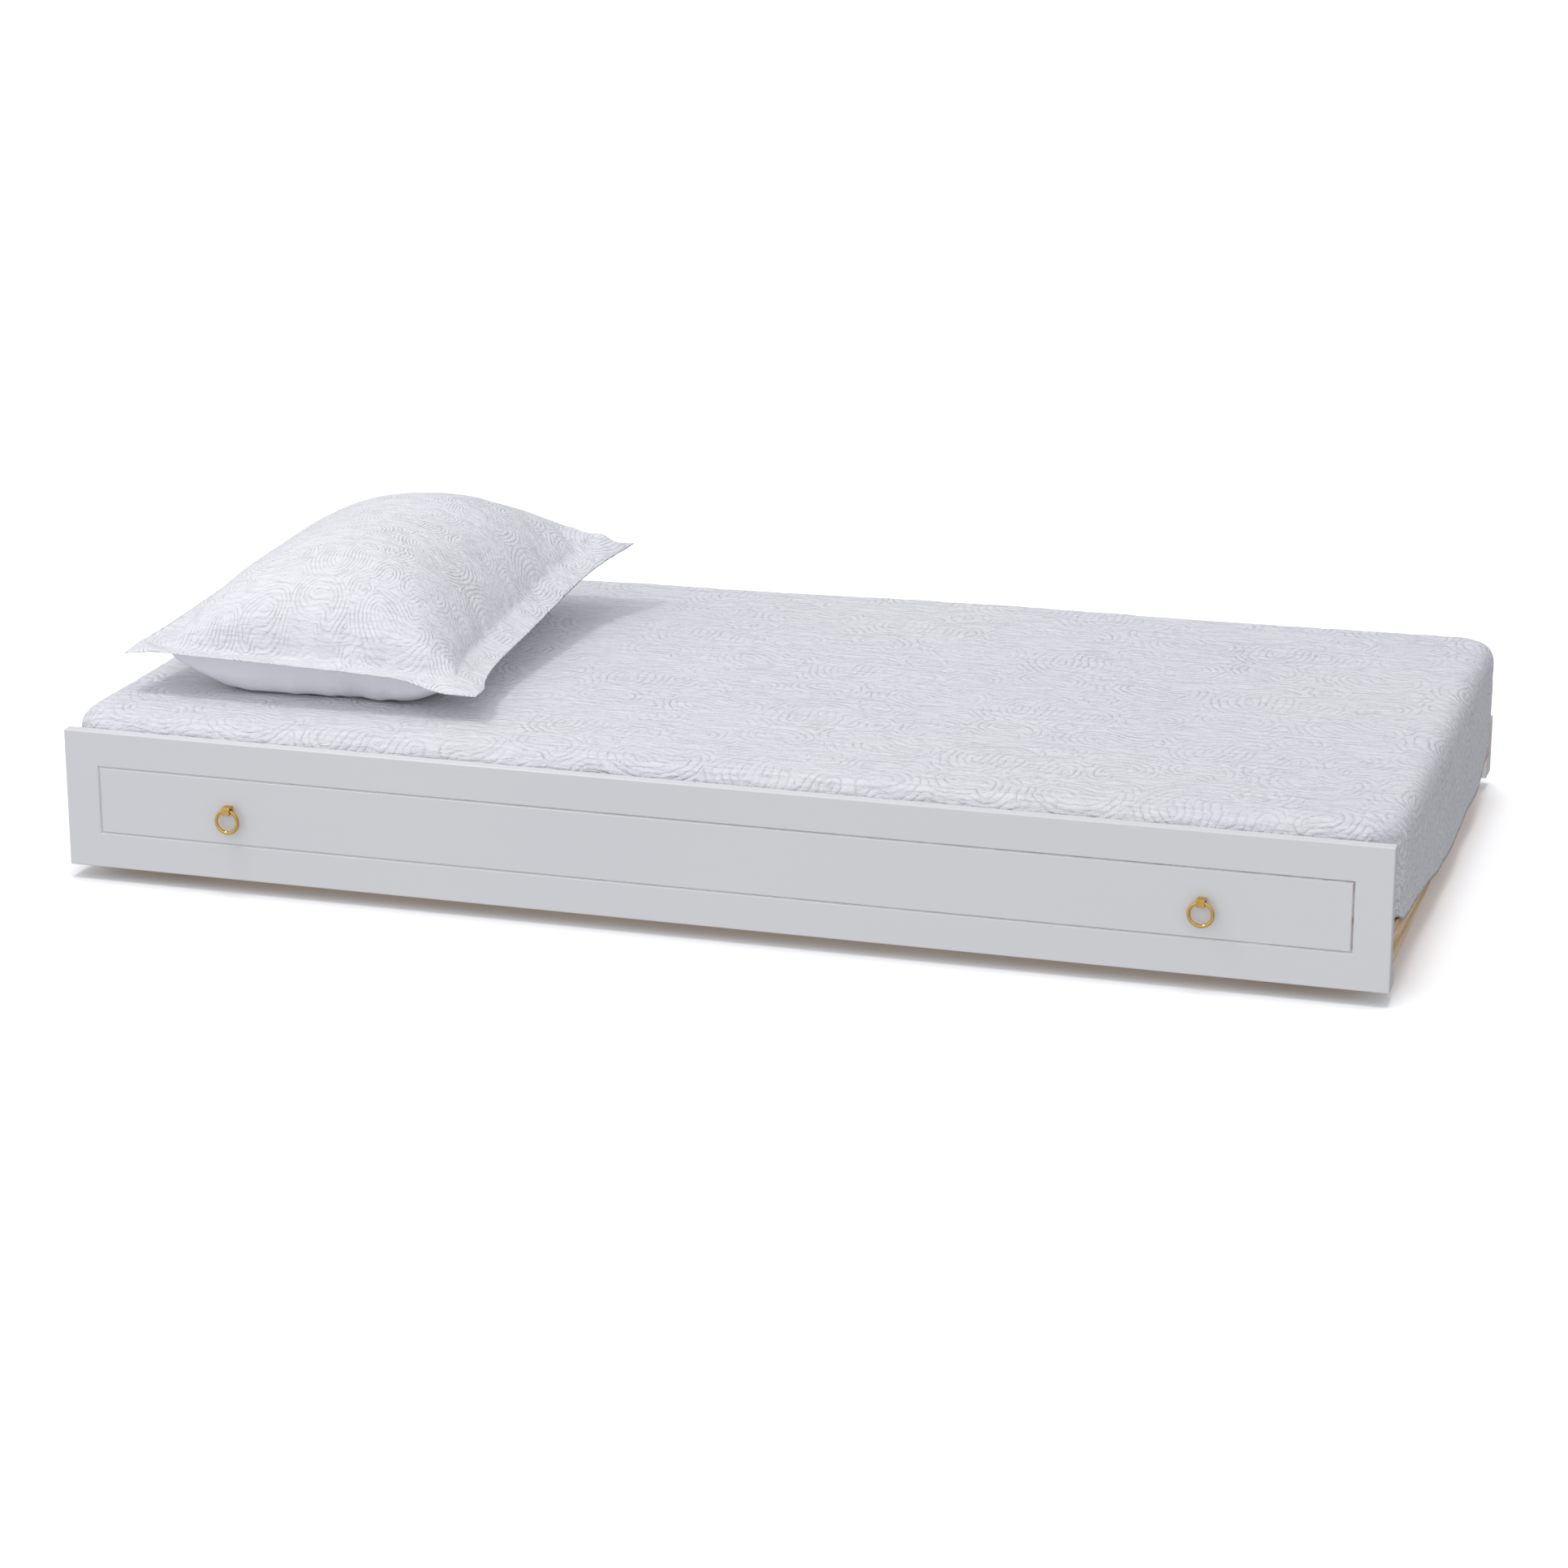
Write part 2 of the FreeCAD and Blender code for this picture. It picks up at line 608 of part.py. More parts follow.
def caster_bracket(name, x, y):
    """Pressed steel fork: a screwed plate and two legs with round ends about the axle."""
    body = doc.addObject("PartDesign::Body", "caster_bracket_" + name)
    plate_top = "%s - caster_board_thick - wheel_radius" % CLEAT_TOP
    plate = new_sketch(body, "XY_Plane", "plate_" + name, plate_top + " - steel_thick")
    centred_rectangle(plate, "plate_wide", "plate_long")
    pad(body, plate, "steel_thick")
    for side in (-1, 1):
        leg = new_sketch(body, "YZ_Plane", "leg_%s_%d" % (name, side > 0),
                         "%d * (fork_gap + steel_thick) / 2" % side)
        leg_outline(leg, plate_top + " - steel_thick / 2")
        pad(body, leg, "steel_thick", True)
    drill(body, "YZ_Plane", "axle_hole_" + name, [(0, 0)], "axle_radius + %g" % AXLE_PRESS_PLAY)
    holes = [(across, along) for across in PLATE_SCREWS_X for along in PLATE_SCREWS_Y]
    drill(body, "XY_Plane", "plate_holes_" + name, holes, "screw_radius + hole_play")
    place(body, x, y, "wheel_radius")
    keep(body, "caster_bracket_" + name)


def leg_outline(sketch, top):
    """Flat top, straight sides and a half-round end centred on the axle."""
    half = size["fork_wide"] / 2
    start = Vector(-half, 0, 0)
    finish = Vector(half, 0, 0)
    lines = [Part.LineSegment(finish, Vector(half, 30, 0)),
             Part.LineSegment(Vector(half, 30, 0), Vector(-half, 30, 0)),
             Part.LineSegment(Vector(-half, 30, 0), start)]
    round_end = Part.ArcOfCircle(Part.Circle(Vector(0, 0, 0), UP, half), math.pi, 2 * math.pi)
    for item in lines + [round_end]:
        sketch.addGeometry(item)
    for first, second in ((0, 1), (1, 2)):
        sketch.addConstraint(Sketcher.Constraint("Coincident", first, 2, second, 1))
    sketch.addConstraint(Sketcher.Constraint("Tangent", 3, 1, 2, 2))
    sketch.addConstraint(Sketcher.Constraint("Tangent", 3, 2, 0, 1))
    sketch.addConstraint(Sketcher.Constraint("Coincident", 3, 3, -1, 1))
    sketch.addConstraint(Sketcher.Constraint("Vertical", 0))
    sketch.addConstraint(Sketcher.Constraint("Horizontal", 1))
    measure(sketch, Sketcher.Constraint("Radius", 3, half), "fork_wide / 2")
    measure(sketch, Sketcher.Constraint("DistanceY", -1, 1, 1, 1, 30), top)


def caster_axle(name, x, y):
    """Rivet through the fork, with a domed head at each end."""
    half = size["fork_gap"] / 2 + size["steel_thick"]
    rod = doc.addObject("Part::Cylinder", "axle_rod_" + name)
    bind(rod, "Radius", "axle_radius")
    bind(rod, "Height", "fork_gap + 2 * steel_thick + %g" % (2 * AXLE_PROUD))
    rod.Placement = FreeCAD.Placement(-ALONG * (half + AXLE_PROUD), FreeCAD.Rotation(UP, ALONG))
    heads = []
    for side in (-1, 1):
        head = doc.addObject("Part::Cylinder", "axle_head_%s_%d" % (name, side > 0))
        bind(head, "Radius", "axle_radius * 1.7")
        bind(head, "Height", "steel_thick")
        head.Placement = FreeCAD.Placement(ALONG * (side * half), FreeCAD.Rotation(UP, ALONG * side))
        heads.append(head)
    rivet = doc.addObject("Part::MultiFuse", "caster_axle_" + name)
    rivet.Shapes = [rod] + heads
    place(rivet, x, y, "wheel_radius")
    keep(rivet, "caster_axle_" + name)


def casters():
    screws = []
    plate_bottom = (size["rail_bottom"] + size["cleat_height"] - size["caster_board_thick"]
                    - size["steel_thick"])
    front = size["pull_projection"] / 2 - size["bed_depth"] / 2
    for end_name, end in ENDS:
        x = "%d * caster_board_offset" % end
        for side_name, y in zip(("front", "back"), caster_lines()):
            name = "%s_%s" % (side_name, end_name)
            caster_bracket(name, x, y)
            caster_axle(name, x, y)
            caster_wheel(name, x, y)
            centre_y = front + size["caster_" + side_name]
            for across in PLATE_SCREWS_X:
                for along in PLATE_SCREWS_Y:
                    foot = Vector(end * size["caster_board_offset"] + across, centre_y + along, plate_bottom)
                    screws.append(pan_screw(foot, UP, CASTER_SCREW_LONG, size["screw_head"], PAN_HEAD_HIGH))
    group("caster_screws", screws)


# Ring pulls ------------------------------------------------------------------------------------

def ring_pulls():
    face = size["pull_projection"] / 2 - size["bed_depth"] / 2
    for name, side in ENDS:
        x = "%d * pull_offset" % side
        post = board("pull_post_" + name, "post_wide", "pull_projection", "post_high",
                     x, FRONT_FACE + " - pull_projection / 2", "post_bottom", "post_edge")
        drill(post, "YZ_Plane", "ring_hole_" + name,
              [("pull_projection / 2 - ring_stand_off", "ring_axis_height - post_bottom")], "ring_hole")
        drill(post, "XZ_Plane", "post_thread_" + name, [(0, "post_high / 2")],
              "screw_radius + hole_play / 2", "-pull_projection / 2", "pull_screw_in_post + 0.4", True)

        ring = doc.addObject("Part::Torus", "pull_ring_" + name)
        bind(ring, "Radius1", "ring_radius")
        bind(ring, "Radius2", "ring_wire")
        ring.Placement = FreeCAD.Placement(Vector(0, 0, 0), FreeCAD.Rotation(UP, BACKWARDS))
        place(ring, x, FRONT_FACE + " - ring_stand_off", "ring_axis_height - ring_radius")
        keep(ring, "pull_ring_" + name)

        up = size["post_bottom"] + size["post_high"] / 2
        seat = face + size["panel_thick"] - size["pull_screw_sink"]
        long = seat - face + size["pull_screw_in_post"]
        group("pull_screw_" + name,
              [pan_screw(Vector(side * size["pull_offset"], seat, up), -BACKWARDS, long,
                         size["pull_screw_head"], PAN_HEAD_HIGH)])


# Bedding ---------------------------------------------------------------------------------------

def soft_block(label, along_x, along_y, along_z, corner, top, bottom=None):
    """Upright block with round corners, a rounded top edge and, if asked, a rounded bottom edge."""
    body = doc.addObject("PartDesign::Body", label)
    outline = new_sketch(body, "XY_Plane", label + "_outline")
    centred_rectangle(outline, along_x, along_y)
    pad(body, outline, along_z)
    doc.recompute()
    upright = edges_where(body.Tip.Shape, lambda edge: edge.BoundBox.ZLength > 1)
    dress(body, "Fillet", upright, corner)
    crown = body.Tip.Shape.BoundBox.ZMax
    dress(body, "Fillet", edges_where(body.Tip.Shape, lambda edge: edge.BoundBox.ZMin > crown - 0.01), top)
    if bottom:
        dress(body, "Fillet", edges_where(body.Tip.Shape, lambda edge: edge.BoundBox.ZMax < 0.01), bottom)
    return body


def boolean(kind, label, base, tool):
    item = doc.addObject("Part::" + kind, label)
    item.Base = base
    item.Tool = tool
    return item


MATTRESS_BOTTOM = CLEAT_TOP + " + slat_thick + soft_gap"


def mattress():
    body = soft_block("mattress", "mattress_long", "mattress_wide", "mattress_thick",
                      "mattress_corner", "mattress_round", "mattress_round / 2")
    place(body, 0, MIDDLE, MATTRESS_BOTTOM)
    keep(body, "mattress")


def coverlet():
    """Sheet of even thickness over the mattress, cut shorter inside the panel and the back rail."""
    gap = "soft_gap"
    rise = "%s + mattress_thick - end_hem" % MATTRESS_BOTTOM
    inner = soft_block("coverlet_inside", "mattress_long + 2 * %s" % gap, "mattress_wide + 2 * %s" % gap,
                       rise, "mattress_corner", "mattress_round")
    outer = soft_block("coverlet_outside", "mattress_long + 2 * (%s + coverlet_thick)" % gap,
                       "mattress_wide + 2 * (%s + coverlet_thick)" % gap, rise + " + coverlet_thick",
                       "mattress_corner + coverlet_thick", "mattress_round + coverlet_thick")
    sheet_form = boolean("Cut", "coverlet_sheet", outer, inner)
    trim = doc.addObject("Part::Box", "coverlet_trim")
    bind(trim, "Length", "bed_length + 2")
    bind(trim, "Width", "bed_depth")
    bind(trim, "Height", "side_hem - end_hem")
    place(trim, "-bed_length / 2 - 1", "-bed_depth / 2", 0)
    item = boolean("Cut", "coverlet", sheet_form, trim)
    place(item, 0, MIDDLE, "end_hem")
    keep(item, "coverlet")


def pillow():
    """Plump insert inside a thin sham with a flat flange all round."""
    corner = "pillow_corner"
    rounding = "pillow_round"
    floor = "%s + mattress_thick + coverlet_thick + soft_gap" % MATTRESS_BOTTOM
    spot = ("-pillow_offset", "-pillow_forward", floor)
    insert = soft_block("pillow_insert", "pillow_wide - 2 * sham_thick", "pillow_long - 2 * sham_thick",
                        "pillow_high - 2 * sham_thick", corner, rounding, rounding)
    place(insert, spot[0], spot[1], spot[2] + " + sham_thick")
    keep(insert, "pillow_insert")

    hollow = soft_block("sham_inside", "pillow_wide - 2 * sham_thick", "pillow_long - 2 * sham_thick",
                        "pillow_high - 2 * sham_thick", corner, rounding, rounding)
    place(hollow, 0, 0, "sham_thick")
    bag = soft_block("sham_outside", "pillow_wide", "pillow_long", "pillow_high",
                     corner, rounding, rounding)
    flange = soft_block("sham_flange", "pillow_wide + 2 * flange_width", "pillow_long + 2 * flange_width",
                        "flange_thick", "flange_width / 2", "flange_thick / 3")
    place(flange, 0, 0, "flange_height")
    item = boolean("Cut", "pillow_sham", boolean("Fuse", "sham_form", bag, flange), hollow)
    place(item, *spot)
    keep(item, "pillow_sham")


# Check and write -------------------------------------------------------------------------------

def check_document():
    doc.recompute()
    for item in doc.Objects:
        broken = [state for state in item.State if state in ("Invalid", "Error")]
        if broken:
            raise RuntimeError("%s is %s" % (item.Label, broken))
    for item in parts:
        if item.Shape.isNull() or not item.Shape.isValid() or not item.Shape.Solids:
            raise RuntimeError("%s has no valid solid" % item.Label)


def export():
    os.makedirs("parts", exist_ok=True)
    for item in parts:
        item.Shape.exportStep("parts/%s.step" % item.Label)


fill_sheet()
front_panel()
back_rail()
end_rails()
corner_blocks()
cleats()
centre_beam()
caster_boards()
slats()
frame_fasteners()
casters()
ring_pulls()
mattress()
coverlet()
pillow()
check_document()
export()
print("%d sub-parts written" % len(parts))
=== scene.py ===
import math

import bpy
import numpy as np
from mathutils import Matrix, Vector, noise
from mathutils.kdtree import KDTree


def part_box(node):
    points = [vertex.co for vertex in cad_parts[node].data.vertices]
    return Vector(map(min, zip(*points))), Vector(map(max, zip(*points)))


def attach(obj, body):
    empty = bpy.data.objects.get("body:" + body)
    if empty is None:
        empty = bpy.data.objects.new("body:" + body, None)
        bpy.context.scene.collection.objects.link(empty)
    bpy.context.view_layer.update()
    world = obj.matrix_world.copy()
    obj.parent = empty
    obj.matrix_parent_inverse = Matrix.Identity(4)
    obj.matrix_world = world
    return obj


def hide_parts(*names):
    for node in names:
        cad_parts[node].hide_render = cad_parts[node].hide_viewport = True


# Twin-size trundle bed. Metres; +X towards the foot end, +Y towards the back, +Z up.

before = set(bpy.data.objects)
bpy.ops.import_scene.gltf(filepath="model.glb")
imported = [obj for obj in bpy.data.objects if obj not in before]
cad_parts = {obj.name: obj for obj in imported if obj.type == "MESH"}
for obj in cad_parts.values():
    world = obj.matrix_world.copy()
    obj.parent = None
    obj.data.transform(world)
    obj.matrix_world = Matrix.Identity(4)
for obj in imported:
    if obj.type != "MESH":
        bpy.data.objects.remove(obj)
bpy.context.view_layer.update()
scene = bpy.context.scene


def box(name):
    """A CAD node's lowest corner, highest corner and centre."""
    low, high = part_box(name)
    return np.array(low), np.array(high), (np.array(low) + np.array(high)) / 2


PANEL = box("front_panel")
MATTRESS = box("mattress")
COVER = box("coverlet")
SHAM = box("pillow_sham")
BED_TOP = COVER[1][2]


# Nodes and meshes ------------------------------------------------------------------------------

class Paint:
    """A material's node tree, with short calls that return each node's output."""

    def __init__(self, name, **constants):
        self.material = bpy.data.materials.new(name)
        self.material.use_nodes = True
        self.tree = self.material.node_tree
        self.shader = self.tree.nodes["Principled BSDF"]
        for socket, value in constants.items():
            self.shader.inputs[socket.replace("_", " ")].default_value = value
        self.place = self.add("TexCoord", output="Object")

    def add(self, kind, *values, output=0, **settings):
        item = self.tree.nodes.new("ShaderNode" + kind)
        named = settings.pop("inputs", {})
        for key, value in settings.items():
            setattr(item, key, value)
        for socket, value in list(enumerate(values)) + list(named.items()):
            if isinstance(value, bpy.types.NodeSocket):
                self.tree.links.new(value, item.inputs[socket])
            elif value is not None:
                item.inputs[socket].default_value = value
        return item.outputs[output]

    def math(self, operation, first, second=None, third=None):
        return self.add("Math", first, second, third, operation=operation)

    def noise(self, scale, detail=3.0, rough=0.5, distortion=0.0, where=None):
        inputs = {"Vector": where or self.place, "Scale": scale, "Detail": detail,
                  "Roughness": rough, "Distortion": distortion}
        return self.add("TexNoise", inputs=inputs)

    def stretched(self, factors, turn=(0, 0, 0)):
        return self.add("Mapping", inputs={"Vector": self.place, "Scale": factors, "Rotation": turn})

    def spread(self, value, low, high, to_low=0.0, to_high=1.0):
        """Map a range of a value to another, held at its ends."""
        names = {"Value": value, "From Min": low, "From Max": high, "To Min": to_low, "To Max": to_high}
        return self.add("MapRange", inputs=names)

    def ramp(self, value, stops):
        item = self.tree.nodes.new("ShaderNodeValToRGB")
        while len(item.color_ramp.elements) < len(stops):
            item.color_ramp.elements.new(0.5)
        for element, (position, colour) in zip(item.color_ramp.elements, stops):
            element.position = position
            element.color = (*colour, 1)
        self.tree.links.new(value, item.inputs[0])
        return item.outputs[0]

    def mix(self, factor, first, second, blend="MIX"):
        item = self.tree.nodes.new("ShaderNodeMix")
        item.data_type = "RGBA"
        item.blend_type = blend
        for socket, value in ((0, factor), (6, first), (7, second)):
            if isinstance(value, bpy.types.NodeSocket):
                self.tree.links.new(value, item.inputs[socket])
            else:
                item.inputs[socket].default_value = value if socket == 0 else (*value, 1)
        return item.outputs[2]

    def bump(self, height, distance, strength=1.0, under=None):
        inputs = {"Height": height, "Distance": distance, "Strength": strength}
        if under is not None:
            inputs["Normal"] = under
        return self.add("Bump", inputs=inputs)

    def finish(self, colour=None, roughness=None, normal=None):
        for name, value in (("Base Color", colour), ("Roughness", roughness), ("Normal", normal)):
            if value is not None:
                self.tree.links.new(value, self.shader.inputs[name])
        return self.material


def new_piece(name, points, faces, body, materials, smooth=True):
    """Mesh object that moves with a body and has its materials."""
    mesh = bpy.data.meshes.new(name)
    mesh.from_pydata(np.asarray(points).tolist(), [], [list(face) for face in faces])
    mesh.validate()
    mesh.polygons.foreach_set("use_smooth", [smooth] * len(mesh.polygons))
    for material in materials:
        mesh.materials.append(material)
    piece = bpy.data.objects.new(name, mesh)
    scene.collection.objects.link(piece)
    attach(piece, body)
    return piece


def write_attribute(piece, name, values):
    layer = piece.data.attributes.get(name) or piece.data.attributes.new(name, "FLOAT", "POINT")
    layer.data.foreach_set("value", np.asarray(values, dtype=np.float32))


def ease(value, low, high):
    """Smooth step from 0 at low to 1 at high, also where low is above high."""
    part = np.clip((value - low) / (high - low), 0, 1)
    return part * part * (3 - 2 * part)


def wander(points, scale, seed):
    """Smooth noise, about -1 to 1, at each point."""
    return np.array([noise.noise(Vector((x * scale + seed, y * scale - seed, z * scale + 2 * seed)))
                     for x, y, z in points])


# Quilted pattern -------------------------------------------------------------------------------

TILE = (0.30, 0.26)


def drop_outline(length, wide, curl, count=56):
    """Outline of a teardrop with a round foot and a tip that curls, about its middle."""
    along = np.linspace(0, 1, count)
    heading = math.radians(curl) * along ** 1.7
    step = np.stack([np.sin(heading), np.cos(heading)], 1) * length / count
    spine = np.cumsum(step, 0)
    foot = np.sqrt(np.clip(1 - (1 - along / 0.3) ** 2, 0, 1))
    tip = np.cos(math.pi / 2 * np.clip((along - 0.3) / 0.7, 0, 1)) ** 0.9
    half = wide / 2 * np.where(along < 0.3, foot, tip)
    across = np.stack([np.cos(heading), -np.sin(heading)], 1) * half[:, None]
    outline = np.concatenate([spine + across, (spine - across)[-2:0:-1]])
    return outline - outline.mean(0)


def rosette_outline(radius, lobes, count=96):
    angle = np.linspace(0, 2 * math.pi, count, endpoint=False)
    reach = radius * (0.72 + 0.28 * np.abs(np.cos(angle * lobes / 2)))
    return np.stack([np.cos(angle), np.sin(angle)], 1) * reach[:, None]


def motif_points(size):
    """Outline points and outward normals of the motifs that cover a cloth of this size."""
    motifs = [
        (drop_outline(0.165, 0.078, 165), 0.070, 0.062, 25),
        (drop_outline(0.160, 0.074, -160), 0.222, 0.190, -150),
        (drop_outline(0.085, 0.040, -130), 0.238, 0.040, 80),
        (drop_outline(0.090, 0.040, 140), 0.062, 0.205, -60),
        (rosette_outline(0.027, 6), 0.150, 0.118, 0),
        (rosette_outline(0.018, 5), 0.135, 0.235, 20),
        (drop_outline(0.075, 0.030, 110), 0.165, 0.020, 190),
    ]
    points, normals = [], []
    across, down = (int(math.ceil(size[axis] / TILE[axis] / 2)) + 1 for axis in (0, 1))
    for column in range(-across, across + 1):
        for row in range(-down, down + 1):
            shift = TILE[1] / 2 if column % 2 else 0
            for outline, x, y, turn in motifs:
                angle = math.radians(turn + 24 * noise.noise(Vector((column * 1.7, row * 2.3, turn))))
                cosine, sine = math.cos(angle), math.sin(angle)
                spin = np.array([[cosine, -sine], [sine, cosine]])
                turned = outline @ spin.T
                ahead = np.roll(turned, -1, 0)
                tangent = ahead - np.roll(turned, 1, 0)
                area = np.sum(turned[:, 0] * ahead[:, 1] - turned[:, 1] * ahead[:, 0])
                normal = np.stack([tangent[:, 1], -tangent[:, 0]], 1) * np.sign(area)
                points.append(turned + (column * TILE[0] + x, row * TILE[1] + y + shift))
                normals.append(normal / np.linalg.norm(normal, axis=1, keepdims=True))
    return np.concatenate(points), np.concatenate(normals)


def stitch_distance(flat, size):
    """Signed distance in millimetres from each point of a flat cloth to the nearest motif's outline."""
    points, normals = motif_points(size)
    tree = KDTree(len(points))
    for index, (x, y) in enumerate(points):
        tree.insert((x, y, 0), index)
    tree.balance()
    lifted = np.column_stack([flat, np.zeros(len(flat))])
    warp = np.stack([wander(lifted, 5.0, 3.1), wander(lifted, 5.0, 8.7)], 1) * 0.010
    found = np.zeros(len(flat))
    for index, spot in enumerate(flat + warp):
        near, which, distance = tree.find((spot[0], spot[1], 0))
        side = np.dot(spot - points[which], normals[which])
        found[index] = distance if side >= 0 else -distance
    return found * 1000


# Materials -------------------------------------------------------------------------------------

def painted_wood():
    """Satin paint with a faint orange peel; painted brown shade on the routed line's walls that don't
    face up.
    """
    paint = Paint("painted_wood", Roughness=0.42, Coat_Weight=0.35, Coat_Roughness=0.18)
    x, y, z = (paint.add("SeparateXYZ", paint.place, output=axis) for axis in range(3))
    cloud = paint.noise(1.6, 3)
    base = paint.mix(paint.spread(cloud, 0.35, 0.65), (0.722, 0.734, 0.732), (0.736, 0.745, 0.739))
    speck = paint.spread(paint.noise(90, 4, 0.7), 0.62, 0.78)
    base = paint.mix(paint.math("MULTIPLY", speck, 0.10), base, (0.74, 0.74, 0.74))
    inside = paint.spread(y, PANEL[0][1] + 0.0002, PANEL[0][1] + 0.0012)
    near = paint.math("LESS_THAN", y, PANEL[0][1] + 0.004)
    span = paint.math("LESS_THAN", paint.math("ABSOLUTE", x), 0.9003)
    off_middle = paint.math("ABSOLUTE", paint.math("SUBTRACT", z, PANEL[2][2]))
    band = paint.math("LESS_THAN", off_middle, 0.0515)
    across = paint.math("MULTIPLY", span, band)
    groove = paint.math("MULTIPLY", paint.math("MULTIPLY", inside, near), across)
    faces_up = paint.add("SeparateXYZ", paint.add("NewGeometry", output="Normal"), output=2)
    groove = paint.math("MULTIPLY", groove, paint.math("LESS_THAN", faces_up, 0.3))
    toward_foot = paint.math("MULTIPLY", paint.spread(x, -0.9, 0.85, 0.10, 0.85),
                             paint.spread(z, PANEL[2][2] - 0.049, PANEL[2][2] - 0.044, 0.45, 1.0))
    patches = paint.spread(paint.noise(38, 4, 0.65), 0.30, 0.62)
    # painted shade: a patchy brown darkening on groove walls that don't face up, stronger towards the
    # foot, weaker on the lower line
    painted_groove_shade = paint.math("MULTIPLY", groove, paint.math("MULTIPLY", toward_foot, patches))
    base = paint.mix(painted_groove_shade, base, (0.36, 0.24, 0.20))
    rough = paint.spread(paint.noise(7, 3), 0.3, 0.7, 0.36, 0.48)
    peel = paint.bump(paint.noise(420, 2), 0.00012, 0.5)
    ripple = paint.bump(paint.noise(26, 2, where=paint.stretched((0.15, 1, 1))), 0.0006, 0.35, peel)
    return paint.finish(base, rough, ripple)


def pine(name, along, light, dark):
    """Raw sawn pine with grain along one axis, growth lines, a few knots and saw marks."""
    paint = Paint(name, Roughness=0.72)
    stretch = [1.0, 1.0, 1.0]
    stretch["XYZ".index(along)] = 0.07
    run = paint.stretched(stretch)
    wobble = paint.noise(9, 2, where=run)
    lines = paint.add("TexWave", inputs={"Vector": run, "Scale": 26.0, "Distortion": 7.0, "Detail": 3.0,
                                         "Detail Scale": 1.4}, bands_direction="DIAGONAL", output=1)
    fibre = paint.noise(260, 4, 0.65, where=run)
    grain = paint.math("ADD", paint.math("MULTIPLY", lines, 0.55), paint.math("MULTIPLY", wobble, 0.5))
    colour = paint.ramp(grain, [(0.18, dark), (0.46, tuple(0.5 * (a + b) for a, b in zip(light, dark))),
                                (0.80, light)])
    colour = paint.mix(paint.spread(fibre, 0.45, 0.8, 0.0, 0.35), colour, dark)
    longer = paint.stretched([0.45 + 0.55 * value for value in stretch])
    cells = paint.add("TexVoronoi", inputs={"Vector": longer, "Scale": 5.5, "Randomness": 1.0})
    knot = paint.spread(cells, 0.045, 0.075, 1.0, 0.0)
    colour = paint.mix(paint.math("MULTIPLY", knot, 0.8), colour, (0.16, 0.07, 0.03))
    rough = paint.spread(fibre, 0.3, 0.7, 0.62, 0.82)
    saw = paint.bump(paint.noise(340, 3, where=run), 0.0005, 0.6)
    return paint.finish(colour, rough, paint.bump(grain, 0.0006, 0.4, saw))


def metal(name, colour, mark, roughness, wear, scratch, anisotropy=0.0):
    """Metal with faint handling marks: wear is how far the roughness spreads."""
    paint = Paint(name, Metallic=1.0, Anisotropic=anisotropy)
    cloud = paint.noise(60, 4, 0.6)
    tint = paint.mix(paint.spread(cloud, 0.42, 0.72), colour, mark)
    rough = paint.spread(paint.noise(140, 4, 0.7), 0.35, 0.7, roughness, roughness + wear)
    hair = paint.noise(900, 2, where=paint.stretched((1, 0.08, 1)))
    return paint.finish(tint, rough, paint.bump(hair, 0.00005, scratch))


def nylon():
    """Dark moulded plastic with a fine texture and dust in it."""
    paint = Paint("wheel_nylon", Roughness=0.45)
    dust = paint.spread(paint.noise(55, 5, 0.7), 0.5, 0.78)
    tint = paint.mix(dust, (0.035, 0.035, 0.038), (0.12, 0.115, 0.11))
    rough = paint.spread(dust, 0, 1, 0.40, 0.65)
    return paint.finish(tint, rough, paint.bump(paint.noise(1500, 2), 0.0001, 0.5))


def ticking():
    """Off-white mattress cloth with woven stripes, a fine weave and a soft quilted bump."""
    paint = Paint("ticking", Roughness=0.88, Sheen_Weight=0.15)
    stripe = paint.add("TexWave", inputs={"Vector": paint.place, "Scale": 9.0, "Distortion": 0.0},
                       bands_direction="X", output=1)
    line = paint.spread(stripe, 0.86, 0.94)
    tint = paint.mix(paint.math("MULTIPLY", line, 0.45), (0.74, 0.72, 0.67), (0.40, 0.43, 0.50))
    weave = paint.math("MULTIPLY", *[paint.add("TexWave", inputs={"Vector": paint.place, "Scale": 340.0},
                                               bands_direction=axis, output=1) for axis in "XY"])
    quilt = paint.noise(28, 2)
    normal = paint.bump(weave, 0.0004, 0.5, paint.bump(quilt, 0.004, 0.5))
    return paint.finish(tint, None, normal)


